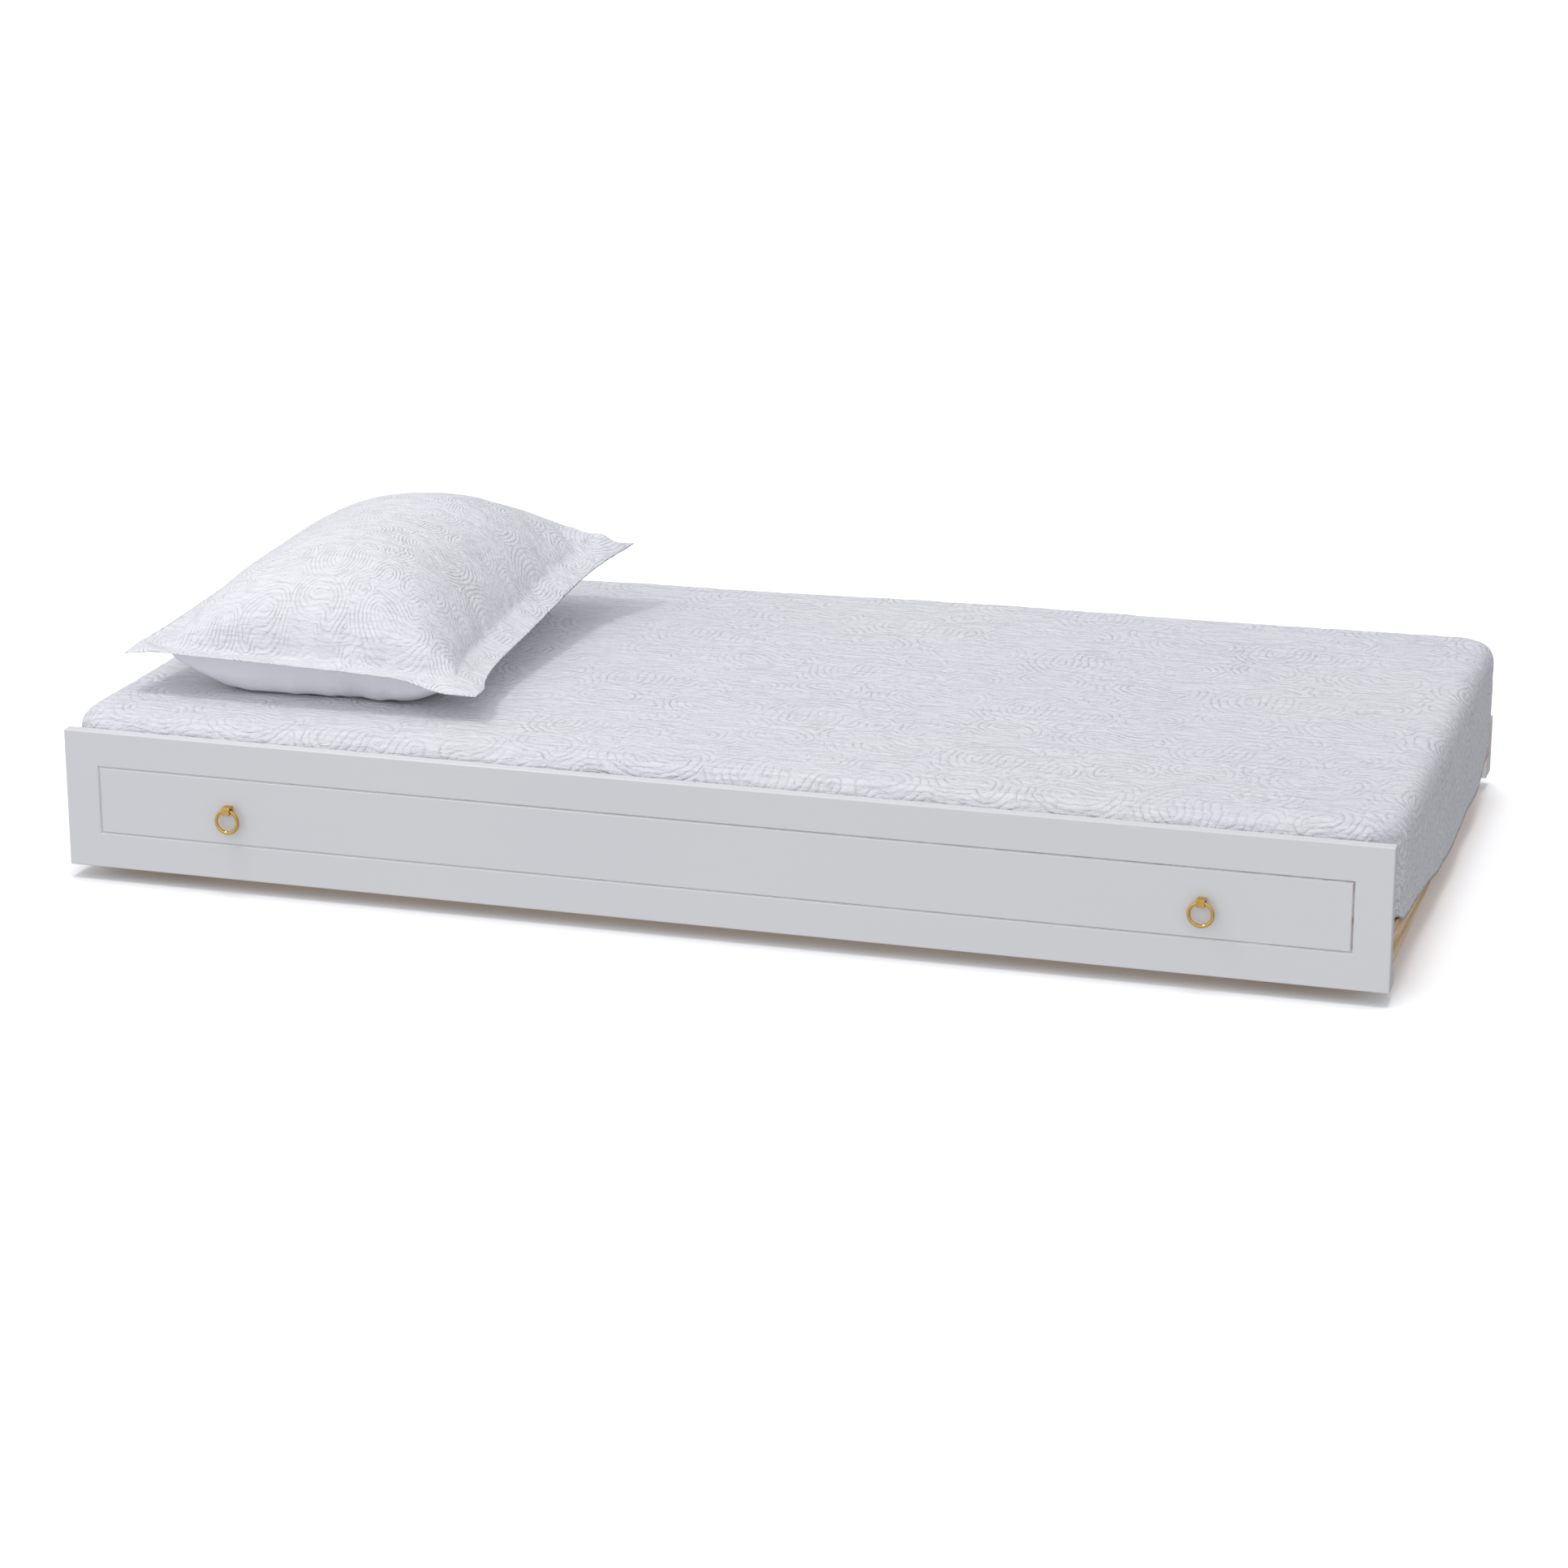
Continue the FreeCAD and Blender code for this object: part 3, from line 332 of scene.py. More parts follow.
def quilted(name, pitch, depth, warm, cool, contrast):
    """White matelasse: ridges that echo the motifs' outlines, crinkled between fine stitches; painted
    shade in the hollows.
    """
    paint = Paint(name, Roughness=0.92, Sheen_Weight=0.03, Sheen_Roughness=0.5, Specular_IOR_Level=0.10)
    stitch = paint.add("Attribute", attribute_name="stitch", output="Fac")
    drift = paint.math("ADD", paint.math("MULTIPLY", paint.noise(24, 2), pitch * 1.4),
                       paint.math("MULTIPLY", paint.noise(95, 2), pitch * 0.5))
    shifted = paint.math("ADD", stitch, drift)
    wave = paint.math("ABSOLUTE", paint.math("SINE", paint.math("MULTIPLY", shifted, math.pi / pitch)))
    ridge = paint.math("MULTIPLY", paint.math("POWER", wave, 0.7), 1.5)
    echo = paint.spread(paint.math("ABSOLUTE", stitch), pitch * 2.6, pitch * 5.0, 1.0, 0.60)
    patchy = paint.math("MULTIPLY", paint.spread(paint.noise(9, 3, 0.6), 0.34, 0.66, 0.55, 1.0),
                        paint.spread(paint.noise(48, 3, 0.6), 0.30, 0.66, 0.45, 1.0))
    uneven = paint.math("MULTIPLY", echo, patchy)
    along = paint.stretched((0.22, 1, 1))
    crinkle = paint.math("MULTIPLY", paint.noise(110, 4, 0.62, 0.9, where=along), 3.2)
    blister = paint.math("MULTIPLY", paint.noise(64, 2, 0.5, 0.6), 1.3)
    thread = paint.math("MULTIPLY", paint.noise(900, 2), 0.16)
    height = paint.math("MULTIPLY", ridge, uneven)
    height = paint.math("ADD", height, paint.math("ADD", crinkle, blister))
    height = paint.math("ADD", height, thread)
    normal = paint.bump(height, depth, 1.0)
    tint = paint.mix(paint.spread(paint.noise(2.4, 3, 0.55), 0.36, 0.66), cool, warm)
    # painted shade: the colour darkens in the stitch valleys and where the crinkle noise is low
    dip = paint.math("SUBTRACT", 1.0, wave)
    painted_valley_shade = paint.math("MULTIPLY", dip, paint.math("MULTIPLY", uneven, contrast))
    shade = tuple(value * 0.80 for value in cool)
    painted_crinkle_shade = paint.spread(paint.noise(110, 4, 0.62, 0.9, where=along), 0.30, 0.50, contrast, 0.0)
    return paint.finish(paint.mix(paint.math("ADD", painted_valley_shade, painted_crinkle_shade), tint, shade), None, normal)


def percale():
    """Plain smooth cotton with soft creases."""
    paint = Paint("pillow_cotton", Roughness=0.85, Sheen_Weight=0.10, Specular_IOR_Level=0.25)
    cloud = paint.spread(paint.noise(5, 2), 0.35, 0.65)
    tint = paint.mix(cloud, (0.86, 0.86, 0.89), (0.88, 0.88, 0.90))
    crease = paint.noise(14, 3, 0.5, 1.2, where=paint.stretched((1, 0.5, 1.6)))
    weave = paint.noise(1300, 2)
    return paint.finish(tint, None, paint.bump(weave, 0.0002, 0.5, paint.bump(crease, 0.006, 0.45)))


def flooring():
    """Plain, almost white studio floor."""
    paint = Paint("studio_floor", Roughness=0.9, Specular_IOR_Level=0.0)
    cloud = paint.spread(paint.noise(0.7, 2), 0.4, 0.6)
    tint = paint.mix(cloud, (0.955, 0.955, 0.957), (0.960, 0.960, 0.960))
    return paint.finish(tint, None, paint.bump(paint.noise(60, 2), 0.0002, 0.2))


PAINTED = painted_wood()
PINE_Y = pine("raw_pine", "Y", (0.80, 0.60, 0.38), (0.52, 0.32, 0.16))
PINE_X = pine("raw_pine_lengthwise", "X", (0.80, 0.60, 0.38), (0.52, 0.32, 0.16))
BEECH = pine("beech_dowel", "Y", (0.76, 0.56, 0.38), (0.60, 0.40, 0.25))
BRASS = metal("brass", (0.72, 0.45, 0.12), (0.58, 0.34, 0.07), 0.06, 0.10, 0.15)
ZINC = metal("zinc_steel", (0.62, 0.64, 0.66), (0.45, 0.47, 0.49), 0.30, 0.22, 0.4, 0.3)
NYLON = nylon()
TICKING = ticking()
QUILT = quilted("quilted_cotton", pitch=11.5, depth=0.0017, contrast=0.22,
                warm=(0.815, 0.812, 0.827), cool=(0.790, 0.791, 0.823))
SHAM_QUILT = quilted("sham_quilted_cotton", pitch=6.4, depth=0.0013, contrast=0.20,
                     warm=(0.845, 0.850, 0.863), cool=(0.825, 0.832, 0.855))
PERCALE = percale()

FINISHES = [
    (("front_panel", "back_rail", "corner_block"), PAINTED),
    (("end_rail", "slat_0", "slat_1", "caster_board"), PINE_Y),
    (("front_cleat", "back_cleat", "centre_beam"), PINE_X),
    (("corner_dowels", "board_dowels"), BEECH),
    (("caster_wheel",), NYLON),
    (("pull_",), BRASS),
    (("slat_screws", "cleat_screws", "beam_screws", "block_screws", "caster_screws", "cam_",
      "caster_bracket", "caster_axle"), ZINC),
    (("mattress",), TICKING),
    (("coverlet", "pillow_sham"), QUILT),
    (("pillow_insert",), PERCALE),
]


def dress_nodes():
    """Give every CAD node its material."""
    for name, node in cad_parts.items():
        finish = [material for starts, material in FINISHES if name.startswith(starts)][-1]
        if not node.data.materials:
            node.data.materials.append(finish)
        for place in node.material_slots:
            place.material = finish


# Bedding ---------------------------------------------------------------------------------------

EDGE_ROUND = 0.040        # radius of the coverlet's turn over the mattress's edge
EDGE_SQUARE = 0.68        # 1 is a round turn, less is a squarer one
FAN = 0.020               # flat part of the rounded corner, inside that turn
CELL = 0.0064
ARC_ROWS = 12
FAN_ROWS = 3
DROP_ROWS = 19
HEM = [(-0.0004, 0.0006), (-0.0016, 0.0), (-0.0028, 0.0008), (-0.0034, 0.017)]


def top_height(x, y):
    """Height of the coverlet's top, level with the CAD's apart from a slow unevenness."""
    points = np.column_stack([x, y, np.zeros(len(x))])
    slow = 0.0030 * wander(points, 2.1, 4.0) + 0.0016 * wander(points, 6.5, 9.0)
    back = -0.010 * ease(y, 0.10, 0.46) * ease(x, 0.25, -0.45)
    foot = 0.004 * ease(x, 0.62, 0.93)
    under = ease(np.hypot((x - SHAM[2][0]) / 0.34, (y - SHAM[2][1]) / 0.44), 1.0, 0.72)
    return BED_TOP + (slow + back + foot) * (1 - under) - 0.003 * under


def hem_height(x, y, outwards):
    """Height of the hem: high inside the panel and the back rail, low and uneven at the two ends."""
    front = COVER[0][1]
    reach = y - front
    curve = 0.047 * np.cos(math.pi / 2 * np.clip(reach / 0.52, 0, 1)) ** 2
    back = 0.036 * ease(y, COVER[1][1] - 0.20, COVER[1][1])
    ripple = 0.0008 * np.sin(reach * 21 + 1.0) + 0.0007 * np.sin(reach * 47)
    end = COVER[0][2] - 0.004 + curve + back + ripple * ease(reach, 0, 0.06)
    side = 0.110 + 0.002 * np.sin(x * 17)
    return side + (end - side) * ease(outwards, 0.90, 0.995)    # clears the end rail at the corners


def border_profile(rows_down):
    """For each border row: reach outwards, fall, share of the straight drop, and hem offsets."""
    rows = [(FAN * (index + 1) / FAN_ROWS, 0.0, 0.0, (0.0, 0.0)) for index in range(FAN_ROWS)]
    for index in range(ARC_ROWS):
        angle = math.pi / 2 * (index + 1) / ARC_ROWS
        out = math.sin(angle) ** EDGE_SQUARE
        left = math.cos(angle) ** EDGE_SQUARE if index < ARC_ROWS - 1 else 0.0
        rows.append((FAN + EDGE_ROUND * out, EDGE_ROUND * (1 - left), 0.0, (0.0, 0.0)))
    for index in range(rows_down):
        rows.append((FAN + EDGE_ROUND, EDGE_ROUND, (index + 1) / rows_down, (0.0, 0.0)))
    for offset in HEM:
        rows.append((FAN + EDGE_ROUND, EDGE_ROUND, 1.0, offset))
    return rows


def make_coverlet():
    """One continuous cloth: a level top, a rounded edge, four hanging sides and a turned hem."""
    half = (COVER[1] - COVER[0])[:2] / 2 - 0.0015
    centre = COVER[2][:2]
    core = half - EDGE_ROUND - FAN
    count = [int(round(2 * core[axis] / CELL)) for axis in (0, 1)]
    profile = border_profile(DROP_ROWS)
    border = len(profile)
    lines = [np.arange(-border, count[axis] + border + 1) for axis in (0, 1)]
    column, row = (part.ravel() for part in np.meshgrid(lines[0], lines[1], indexing="ij"))

    def split(index, cells):
        """Steps beyond the core, negative on the low side, and the nearest core index."""
        inside = np.clip(index, 0, cells)
        return index - inside, inside

    out_x, core_x = split(column, count[0])
    out_y, core_y = split(row, count[1])
    base_x = -core[0] + 2 * core[0] * core_x / count[0]
    base_y = -core[1] + 2 * core[1] * core_y / count[1]
    level = np.maximum(np.abs(out_x), np.abs(out_y))
    small = np.minimum(np.abs(out_x), np.abs(out_y))
    turn = math.pi / 4 * np.divide(small, level, out=np.zeros(len(level)), where=level > 0)
    toward_x = np.where(np.abs(out_x) >= np.abs(out_y), np.cos(turn), np.sin(turn))
    toward_y = np.where(np.abs(out_x) >= np.abs(out_y), np.sin(turn), np.cos(turn))
    toward_x = np.where(level > 0, toward_x * np.sign(out_x), 0.0)
    toward_y = np.where(level > 0, toward_y * np.sign(out_y), 0.0)

    table = np.array([(0, 0, 0, 0, 0)] + [(a, b, c, d[0], d[1]) for a, b, c, d in profile])
    reach, fall, share, hem_out, hem_up = table[level].T
    edge_x = centre[0] + base_x + toward_x * reach
    edge_y = centre[1] + base_y + toward_y * reach
    top = top_height(edge_x, edge_y)
    hem = hem_height(edge_x, edge_y, np.abs(toward_x))
    drop = share * (top - EDGE_ROUND - hem)
    z = np.where(level > 0, top - fall - drop + hem_up, top)

    at_end = np.abs(toward_x) ** 2
    spot = np.column_stack([edge_x, edge_y, z])
    sway = wander(spot * (1, 1, 0.35), 9.0, 2.0)
    billow = share * (0.0012 + at_end * 0.0008) * sway
    flare = share * at_end * 0.0005 - share * (1 - at_end) * 0.0010
    x = edge_x + toward_x * (hem_out + billow + flare)
    y = edge_y + toward_y * (hem_out + billow + flare)

    run = np.array([0] + [FAN * (i + 1) / FAN_ROWS for i in range(FAN_ROWS)]
                   + [FAN + EDGE_ROUND * math.pi / 2 * (i + 1) / ARC_ROWS for i in range(ARC_ROWS)]
                   + [FAN + EDGE_ROUND * math.pi / 2] * (DROP_ROWS + len(HEM)))[level]
    length = run + drop + np.where(np.abs(hem_up) > 0.01, 0.017, 0.0)
    flat = np.column_stack([base_x + toward_x * length, base_y + toward_y * length])

    across = len(lines[1])
    index = np.arange(len(x)).reshape(len(lines[0]), across)
    quads = [index[:-1, :-1], index[1:, :-1], index[1:, 1:], index[:-1, 1:]]
    cloth = new_piece("bed_coverlet", np.column_stack([x, y, z]), np.stack(quads, -1).reshape(-1, 4),
                      "mattress", [QUILT])

    distance = stitch_distance(flat, (2.5, 1.6))
    puff = 0.0011 * np.tanh(np.abs(distance) / 9.0)
    normals = np.zeros(len(x) * 3)
    cloth.data.vertex_normals.foreach_get("vector", normals)
    moved = np.column_stack([x, y, z]) + normals.reshape(-1, 3) * (puff * (1 - 0.6 * share))[:, None]
    cloth.data.vertices.foreach_set("co", moved.ravel())
    cloth.data.update()
    write_attribute(cloth, "stitch", distance)
    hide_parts("coverlet")
    return cloth


def loft_block(low, high, corner, rings, cap_rings=5):
    """Closed block with a rounded plan: rings are (inset, height) from the bottom up."""
    centre = (low + high)[:2] / 2
    half = (high - low)[:2] / 2
    points, faces = [], []

    def outline(inset):
        radius = max(corner - inset, 0.004)
        inner = half - inset - radius
        found = []
        for start, (sx, sy) in enumerate(((1, 1), (-1, 1), (-1, -1), (1, -1))):
            for step in range(9):
                angle = math.pi / 2 * (start + step / 8)
                found.append((centre[0] + sx * inner[0] + radius * math.cos(angle),
                              centre[1] + sy * inner[1] + radius * math.sin(angle)))
            into = [(-1, 1), (-1, -1), (1, -1), (1, 1)][start]
            a = np.array(found[-1])
            b = centre + np.array(into) * inner + radius * np.array([math.cos(angle), math.sin(angle)])
            found.extend((a + (b - a) * (part / 24)).tolist() for part in range(1, 24))
        return found

    first, last = rings[0], rings[-1]
    shrink = [(index + 1) / (cap_rings + 1) * half.min() * 0.9 for index in range(cap_rings)]
    full = [(first[0] + extra, first[1]) for extra in shrink[::-1]] + list(rings)
    full += [(last[0] + extra, last[1]) for extra in shrink]
    for inset, height in full:
        points.extend((x, y, height) for x, y in outline(inset))
    each = len(outline(0.0))
    for level in range(len(full) - 1):
        for step in range(each):
            ahead = (step + 1) % each
            faces.append((level * each + step, level * each + ahead,
                          (level + 1) * each + ahead, (level + 1) * each + step))
    faces.append(tuple(range(each))[::-1])
    faces.append(tuple(range((len(full) - 1) * each, len(full) * each)))
    return np.array(points), faces


def make_mattress():
    """Foam mattress with a piped seam round its top and bottom edges and a gently tufted face."""
    low, high, _ = MATTRESS
    corner, turn, cord = 0.068, 0.022, 0.0045
    rings = [(turn * (1 - math.sin(a)), low[2] + turn * (1 - math.cos(a)))
             for a in np.linspace(0, math.pi / 2 * 0.75, 5)]
    piping = [(cord * 0.9 - cord * math.sin(a), cord * (1 - math.cos(a)))
              for a in np.linspace(0.3, math.pi - 0.3, 7)]
    rings += [(inset + 0.001, low[2] + turn + up) for inset, up in piping]
    wall = high[2] - low[2] - 0.083
    rings += [(0.004 - 0.003 * math.sin(math.pi * part), low[2] + turn + 0.012 + wall * part)
              for part in np.linspace(0.05, 0.95, 9)]
    rings += [(inset + 0.001, high[2] - 0.050 + up) for inset, up in piping]
    rings += [(0.004 + 0.036 * (1 - math.cos(a)), high[2] - 0.039 + 0.036 * math.sin(a))
              for a in np.linspace(0.1, math.pi / 2, 9)]
    points, faces = loft_block(low, high, corner, rings, 14)
    level = np.isclose(points[:, 2], low[2]) | np.isclose(points[:, 2], high[2] - 0.003)
    tuft = 0.0018 * np.sin(points[:, 0] * 42) * np.sin(points[:, 1] * 42)
    points[:, 2] += np.where(level & (points[:, 2] > high[2] - 0.01), tuft, 0)
    sink = np.clip(BED_TOP - top_height(points[:, 0], points[:, 1]), 0, None) + 0.0015
    points[:, 2] -= sink * ease(points[:, 2], high[2] - 0.11, high[2] - 0.05)
    piece = new_piece("foam_mattress", points, faces, "mattress", [TICKING])
    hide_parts("mattress")


SHAM_CELLS = (40, 50)
FLANGE_CELLS = 4
FLANGE = 0.0418
SHAM_SEAM = (0.2279, 0.3100)                      # half lengths between the seam's corners
SHAM_SHIFT = (-0.0026, -0.0092)                   # from the CAD pillow's centre
SHAM_TOP = 0.1950                                 # this and the next three are heights above the bed
SEAM_CORNERS = (0.0713, 0.0591, 0.1150, 0.0945)   # head-front, foot-front, foot-back, head-back
TIP_CORNERS = (0.0620, 0.0400, 0.0960, 0.0850)
SEAM_SIDES = (0.0005, -0.0142, 0.0047, 0.0049)    # extra at mid-side: front, foot, back, head
SIDE_PULL = (0.0122, 0.0330, 0.0030)              # how far the head, foot and long sides draw in
FLANGE_HANG = (0.0043, 0.0200)                    # droop of the flange, and of the foot side's
BELLY_OUT = (0.0190, 0.0150)                      # how far the underside swells past the seam
WRINKLE_FRAMES = 24
WRINKLE_CAP = 0.007                               # farthest that the cloth simulation moves a point
GATHER = 0.0052                                   # puckers along the seam, and how far in they reach
GATHER_REACH = 0.030
LUMPS = 0.0016


def dome(place, sharp, power):
    return (1 - np.abs(place) ** sharp) ** power


def corner_blend(a, b, values):
    """Bilinear blend of four corner values over a square from -1 to 1."""
    first, second, third, fourth = values
    near = first * (1 - a) * (1 - b) + second * (1 + a) * (1 - b)
    return (near + third * (1 + a) * (1 + b) + fourth * (1 - a) * (1 + b)) / 4


def sham_grid():
    """Two layers that share their outer edge: places with a side, faces, and pairs sewn at the seam."""
    size = [cells + 2 * FLANGE_CELLS + 1 for cells in SHAM_CELLS]
    index, places, faces, sewn = {}, [], [], []
    for side in (1, -1):
        for i in range(size[0]):
            for j in range(size[1]):
                if side < 0 and (i in (0, size[0] - 1) or j in (0, size[1] - 1)):
                    index[side, i, j] = index[1, i, j]
                    continue
                index[side, i, j] = len(places)
                places.append((i - FLANGE_CELLS, j - FLANGE_CELLS, side))
        for i in range(size[0] - 1):
            for j in range(size[1] - 1):
                face = [index[side, i + di, j + dj] for di, dj in ((0, 0), (1, 0), (1, 1), (0, 1))]
                faces.append(face if side > 0 else face[::-1])
    for i in range(size[0]):
        for j in range(size[1]):
            if min(i, size[0] - 1 - i, j, size[1] - 1 - j) == FLANGE_CELLS:
                sewn.append((index[1, i, j], index[-1, i, j]))
    return np.array(places, float), faces, sewn


def sham_shape(places):
    """Filled bag: a crowned top, a belly that rests on the bed and a flange that droops a little."""
    a, b = (np.clip(places[:, axis] / SHAM_CELLS[axis] * 2 - 1, -1, 1) for axis in (0, 1))
    beyond = [places[:, axis] - np.clip(places[:, axis], 0, SHAM_CELLS[axis]) for axis in (0, 1)]
    out_a, out_b = (part / FLANGE_CELLS for part in beyond)
    side = places[:, 2]
    seam = corner_blend(a, b, SEAM_CORNERS)
    for extra, along, toward in zip(SEAM_SIDES, (a, b, a, b), (-b, a, b, -a)):
        seam = seam + extra * (1 - along * along) * (1 + toward) / 2 * ease(toward, 0, 1)
    crown = dome(a, 2.11, 0.78) * dome(b, 3.82, 0.62)
    above = seam + (SHAM_TOP - seam) * crown * (1 + 0.045 * b)
    rest = np.clip(1.62 * dome(a, 2.64, 0.83) * dome(b, 4.76, 0.43), 0, 1)
    below = seam * (1 - rest)
    inside = (out_a == 0) & (out_b == 0)
    puffed = 0.006 * np.sin(math.pi * crown ** 0.7)
    swell = [np.where(side > 0, puffed, out * np.sin(math.pi * rest ** 0.8)) for out in BELLY_OUT]
    swell_a, swell_b = (np.where(inside, part, 0) for part in swell)
    pull = np.where(a > 0, SIDE_PULL[1], SIDE_PULL[0])
    corner = np.minimum(np.abs(out_a), np.abs(out_b))
    ear = 1 + 0.03 * corner
    x = a * (SHAM_SEAM[0] - pull * (1 - b ** 4)) + swell_a * np.sign(a) * a ** 4
    y = b * (SHAM_SEAM[1] - SIDE_PULL[2] * (1 - a * a)) + swell_b * np.sign(b) * b ** 4
    x, y = x + out_a * FLANGE * ear, y + out_b * FLANGE * ear
    far = np.maximum(np.abs(out_a), np.abs(out_b)) ** 1.3
    hang = FLANGE_HANG[0] + (FLANGE_HANG[1] - FLANGE_HANG[0]) * ease(a, 0.6, 1.0)
    droop = -hang * far * (1 - corner) + (corner_blend(a, b, TIP_CORNERS) - seam) * corner
    layer = side * 0.0009 * (1 - np.maximum(np.abs(out_a), np.abs(out_b)))
    z = np.where(inside, np.where(side > 0, above, below), seam + droop + layer)
    origin = (SHAM[2][0] + SHAM_SHIFT[0], SHAM[2][1] + SHAM_SHIFT[1], BED_TOP + 0.001)
    return np.column_stack([origin[0] + x, origin[1] + y, origin[2] + z])


def wrinkle(points, faces, sewn, filled, rim):
    """Let Blender's cloth slacken and swell the bag, and keep what it does up to the cap."""
    mesh = bpy.data.meshes.new("bag")
    mesh.from_pydata(points.tolist(), sewn, faces)
    bag = bpy.data.objects.new("bag", mesh)
    scene.collection.objects.link(bag)
    group = bag.vertex_groups.new(name="filled")
    group.add(filled, 1.0, "REPLACE")
    held = bag.vertex_groups.new(name="held")
    held.add(rim, 1.0, "REPLACE")
    cloth = bag.modifiers.new("cloth", "CLOTH")
    rules = cloth.settings
    rules.quality = 6
    rules.mass = 0.15
    rules.tension_stiffness = rules.compression_stiffness = 12
    rules.shear_stiffness = 4
    rules.bending_stiffness = 0.06
    rules.shrink_min = rules.shrink_max = -0.028
    rules.use_pressure = True
    rules.uniform_pressure_force = 4
    rules.vertex_group_pressure = "filled"
    rules.use_sewing_springs = True
    rules.sewing_force_max = 0
    rules.vertex_group_mass = "held"
    rules.effector_weights.gravity = 0
    cloth.collision_settings.use_collision = False
    cloth.point_cache.frame_end = WRINKLE_FRAMES
    for step in range(1, WRINKLE_FRAMES + 1):
        scene.frame_set(step)
    shaped = bag.evaluated_get(bpy.context.evaluated_depsgraph_get()).data
    found = np.zeros(len(shaped.vertices) * 3)
    shaped.vertices.foreach_get("co", found)
    scene.frame_set(1)
    bpy.data.objects.remove(bag)
    move = found.reshape(-1, 3) - points
    far = np.linalg.norm(move, axis=1, keepdims=True)
    return points + move * np.minimum(1, WRINKLE_CAP / np.maximum(far, 1e-9))


def make_pillow():
    """Flanged sham, quilted above and plain below, over a stuffed insert."""
    places, faces, sewn = sham_grid()
    cells_x, cells_y = SHAM_CELLS
    depth = np.min([places[:, 0], cells_x - places[:, 0], places[:, 1], cells_y - places[:, 1]], 0)
    filled = [index for index, value in enumerate(depth) if value >= 0]
    shape = sham_shape(places)
    shape = wrinkle(shape, faces, sewn, filled, np.nonzero(depth == -FLANGE_CELLS)[0].tolist())
    shape[:, 2] = np.maximum(shape[:, 2], BED_TOP + 0.001)
    for first, second in sewn:
        shape[[first, second]] = (shape[first] + shape[second]) / 2 + [(0, 0, 0.0005), (0, 0, -0.0005)]
    sham = new_piece("pillow_cover", shape, faces, "pillow", [SHAM_QUILT, PERCALE])
    under = [sum(places[index][2] for index in face) < 0 and max(depth[index] for index in face) > 0
             for face in faces]
    sham.data.polygons.foreach_set("material_index", np.array(under, dtype=np.int32))
    cell = 2 * np.array(SHAM_SEAM) / SHAM_CELLS * 1.06
    carried = {"flat_x": (places[:, 0] - SHAM_CELLS[0] / 2) * cell[0],
               "flat_y": (places[:, 1] - SHAM_CELLS[1] / 2) * cell[1],
               "depth": depth * cell.mean(), "side": places[:, 2]}
    for name, values in carried.items():
        write_attribute(sham, name, values)
    rim = np.isclose(depth, -FLANGE_CELLS)
    tip = rim & ((places[:, 0] + FLANGE_CELLS) % (SHAM_CELLS[0] + 2 * FLANGE_CELLS) == 0) \
        & ((places[:, 1] + FLANGE_CELLS) % (SHAM_CELLS[1] + 2 * FLANGE_CELLS) == 0)
    points_crease = sham.data.attributes.new("crease_vert", "FLOAT", "POINT")
    points_crease.data.foreach_set("value", tip.astype(np.float32))
    edges_crease = sham.data.attributes.new("crease_edge", "FLOAT", "EDGE")
    ends = np.zeros(len(sham.data.edges) * 2, dtype=np.int32)
    sham.data.edges.foreach_get("vertices", ends)
    edges_crease.data.foreach_set("value", rim[ends.reshape(-1, 2)].all(1).astype(np.float32) * 0.8)
    smooth = sham.modifiers.new("smooth", "SUBSURF")
    smooth.levels = smooth.render_levels = 2
    fine = bpy.data.meshes.new_from_object(sham.evaluated_get(bpy.context.evaluated_depsgraph_get()))
    sham.modifiers.clear()
    sham.data = fine
    for name in carried:
        carried[name] = np.zeros(len(fine.vertices), np.float32)
        fine.attributes[name].data.foreach_get("value", carried[name])
        fine.attributes.remove(fine.attributes[name])
    u, v, depth, side = (values.astype(float) for values in carried.values())
    stitch = stitch_distance(np.column_stack([u, v]) * 1.25 + (0.05, 0.03), (1.2, 1.3)) / 1.25
    write_attribute(sham, "stitch", stitch)
    edge_u = SHAM_SEAM[0] * 1.06 - np.abs(u)
    edge_v = SHAM_SEAM[1] * 1.06 - np.abs(v)
    still = np.zeros(len(u))
    near_u, near_v = (np.exp(-np.clip(edge, 0, 1) / GATHER_REACH) for edge in (edge_u, edge_v))
    gather = (near_v * wander(np.column_stack([u * 42, v * 9, still]), 1.0, 5.0)
              + near_u * wander(np.column_stack([u * 9, v * 42, still]), 1.0, 7.0))
    lumps = wander(np.column_stack([u, v, side * 0.2]), 9.0, 11.0)
    puff = 0.0009 * np.tanh(np.abs(stitch) / 7.0)
    uneven = GATHER * gather * ease(depth, 0, 0.008) + LUMPS * lumps * ease(depth, 0, 0.04)
    push = np.where(depth > 0, uneven, 0)
    push = push + puff * ease(depth, 0, 0.006) * (side > 0)
    normals = np.zeros(len(u) * 3)
    fine.vertex_normals.foreach_get("vector", normals)
    spots = np.zeros(len(u) * 3)
    fine.vertices.foreach_get("co", spots)
    spots = spots.reshape(-1, 3) + normals.reshape(-1, 3) * push[:, None]
    spots[:, 2] = np.maximum(spots[:, 2], BED_TOP + 0.0006)
    fine.vertices.foreach_set("co", spots.ravel())
    fine.update()
    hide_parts("pillow_sham")

    number = {index: place for place, index in enumerate(filled)}
    centre = shape[filled].mean(0)
    body = centre + (shape[filled] - centre) * (0.965, 0.965, 0.95)
    kept = [[number[index] for index in face] for face in faces if number.keys() >= set(face)]
    merged = {number[second]: number[first] for first, second in sewn}
    kept = [[merged.get(index, index) for index in face] for face in kept]
    insert = new_piece("pillow_filling", body, kept, "pillow", [PERCALE])
    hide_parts("pillow_insert")


# Studio ----------------------------------------------------------------------------------------

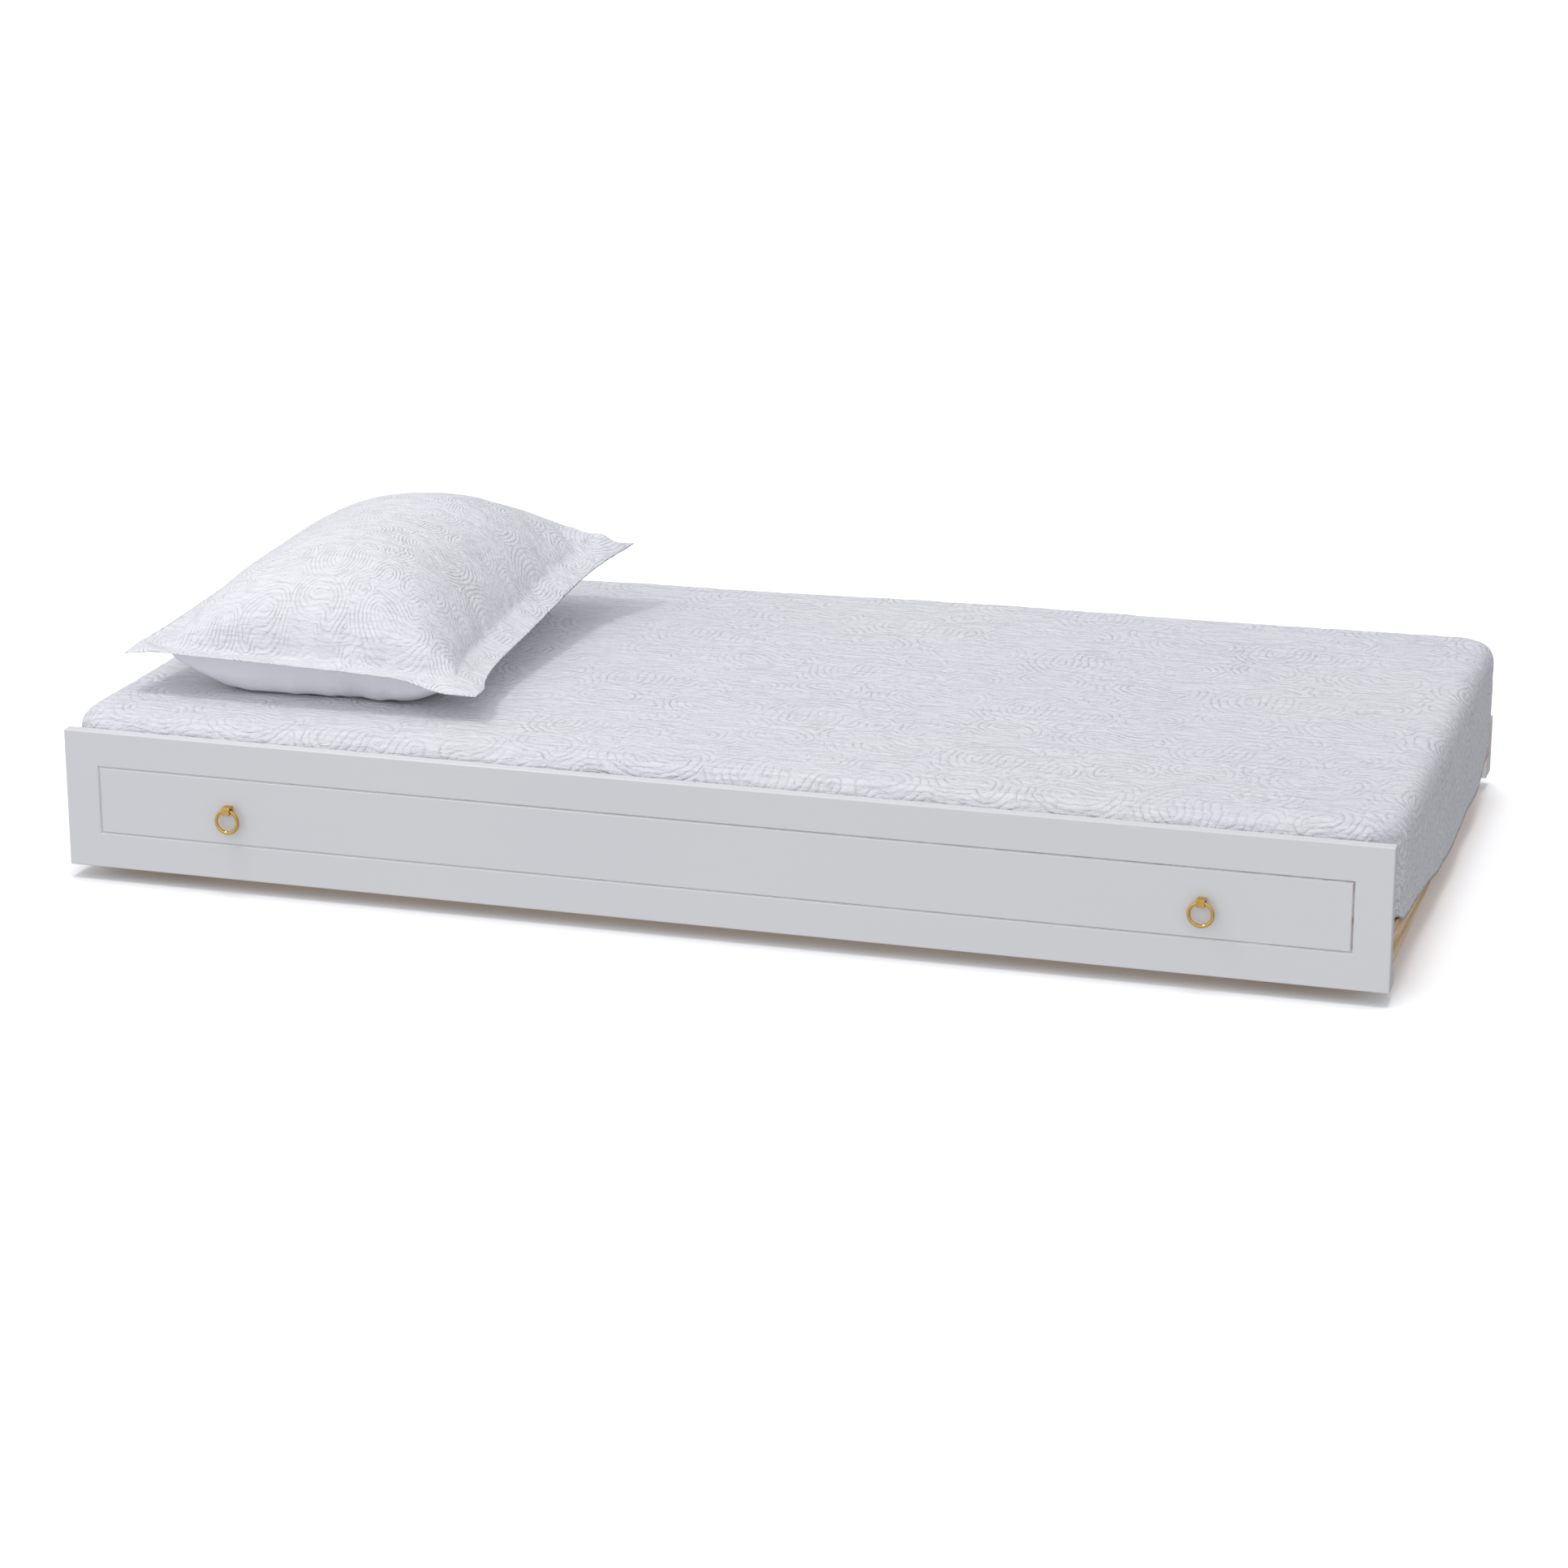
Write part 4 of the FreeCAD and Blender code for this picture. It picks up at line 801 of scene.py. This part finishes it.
CAMERA_FROM_PANEL = (1.6270, -5.0574, 1.8819)
CAMERA_AZIMUTH = 16.582
CAMERA_DOWN = 17.327
CAMERA_LENS = 93.85
KEY_FROM = (-0.25, -0.34, 1.0)
KEY_DISTANCE = 2.7
KEY_POWER = 19                        # watts
KEY_SIZE = 0.55
FLOOR_SUN = 1.35                      # strength, and the angle in degrees that softens the shadow
FLOOR_SUN_ANGLE = 22
SKY_TINT = (0.965, 0.975, 1.03)
SKY = [(0.0, 0.54), (0.49, 0.54), (0.51, 0.61), (1.0, 1.03)]    # brightness from below to overhead
SOFT_SIDE = (-0.45, -0.893, 0.0)    # the low light comes mostly from here
SIDE_RANGE = (0.60, 1.42)


def make_studio():
    """Floor, camera, key, a light for the floor alone, and a soft sky that the camera sees as white."""
    reach = 45.0
    ring = [(reach * math.cos(a), reach * math.sin(a), 0) for a in np.linspace(0, 2 * math.pi, 49)[:-1]]
    mesh = bpy.data.meshes.new("studio_floor")
    mesh.from_pydata(ring, [], [tuple(range(48))])
    mesh.materials.append(flooring())
    floor = bpy.data.objects.new("studio_floor", mesh)
    scene.collection.objects.link(floor)
    floor.visible_diffuse = False
    floor.visible_glossy = False

    camera = bpy.data.objects.new("camera", bpy.data.cameras.new("camera"))
    camera.data.lens = CAMERA_LENS
    camera.data.sensor_width = 36
    camera.location = Vector(CAMERA_FROM_PANEL) + Vector((0, PANEL[0][1], 0))
    camera.rotation_euler = (math.radians(90 - CAMERA_DOWN), 0, math.radians(CAMERA_AZIMUTH))
    scene.collection.objects.link(camera)
    scene.camera = camera

    key = bpy.data.objects.new("key", bpy.data.lights.new("key", "AREA"))
    key.data.shape = "DISK"
    key.data.size = KEY_SIZE
    key.data.energy = KEY_POWER
    key.data.color = (1.0, 0.99, 0.975)
    toward = Vector(KEY_FROM)
    key.location = Vector(SHAM[2]) + toward * KEY_DISTANCE
    key.rotation_euler = toward.to_track_quat("Z", "Y").to_euler()
    scene.collection.objects.link(key)
    down = bpy.data.objects.new("floor_light", bpy.data.lights.new("floor_light", "SUN"))
    down.data.energy = FLOOR_SUN
    down.data.angle = math.radians(FLOOR_SUN_ANGLE)
    down.location = (0, 0, 3)
    scene.collection.objects.link(down)
    for lamp, state in ((key, "EXCLUDE"), (down, "INCLUDE")):
        receivers = bpy.data.collections.new(lamp.name + "_receivers")
        receivers.objects.link(floor)
        receivers.collection_objects[0].light_linking.link_state = state
        lamp.light_linking.receiver_collection = receivers

    world = bpy.data.worlds.new("studio")
    scene.world = world
    world.use_nodes = True
    tree = world.node_tree
    tree.nodes.clear()

    def add(kind, **settings):
        item = tree.nodes.new("ShaderNode" + kind)
        inputs = settings.pop("inputs", {})
        for key, value in settings.items():
            setattr(item, key, value)
        for socket, value in inputs.items():
            if isinstance(value, bpy.types.NodeSocket):
                tree.links.new(value, item.inputs[socket])
            else:
                item.inputs[socket].default_value = value
        return item

    direction = add("TexCoord").outputs["Generated"]
    height = add("SeparateXYZ", inputs={0: direction}).outputs["Z"]
    fade = add("ValToRGB", inputs={0: add("Math", operation="MULTIPLY_ADD", inputs={
        0: height, 1: 0.5, 2: 0.5}).outputs[0]})
    while len(fade.color_ramp.elements) < len(SKY):
        fade.color_ramp.elements.new(0.5)
    for element, (position, value) in zip(fade.color_ramp.elements, SKY):
        element.position = position
        element.color = (*(value * part for part in SKY_TINT), 1)
    facing = add("VectorMath", operation="DOT_PRODUCT", inputs={0: direction, 1: SOFT_SIDE})
    side = add("MapRange", inputs={"Value": facing.outputs["Value"], "From Min": -0.7, "From Max": 0.9,
                                   "To Min": SIDE_RANGE[0] - 1, "To Max": SIDE_RANGE[1] - 1})
    low = add("MapRange", inputs={"Value": height, "From Min": 0.35, "From Max": 1.05,
                                  "To Min": 1.0, "To Max": 0.0})
    share = add("Math", operation="MULTIPLY_ADD",
                inputs={0: side.outputs[0], 1: low.outputs[0], 2: 1.0})
    tint = add("VectorMath", operation="MULTIPLY", inputs={0: fade.outputs[0], 1: share.outputs[0]})
    soft = add("Background", inputs={"Color": tint.outputs[0], "Strength": 1.0})
    seen = add("Background", inputs={"Color": (1, 1, 1, 1)})
    choose = add("MixShader", inputs={0: add("LightPath").outputs["Is Camera Ray"], 1: soft.outputs[0],
                                      2: seen.outputs[0]})
    add("OutputWorld", inputs={0: choose.outputs[0]})
    scene.view_settings.view_transform = "Standard"
    scene.view_settings.look = "None"


make_studio()
dress_nodes()
make_mattress()
make_coverlet()
make_pillow()
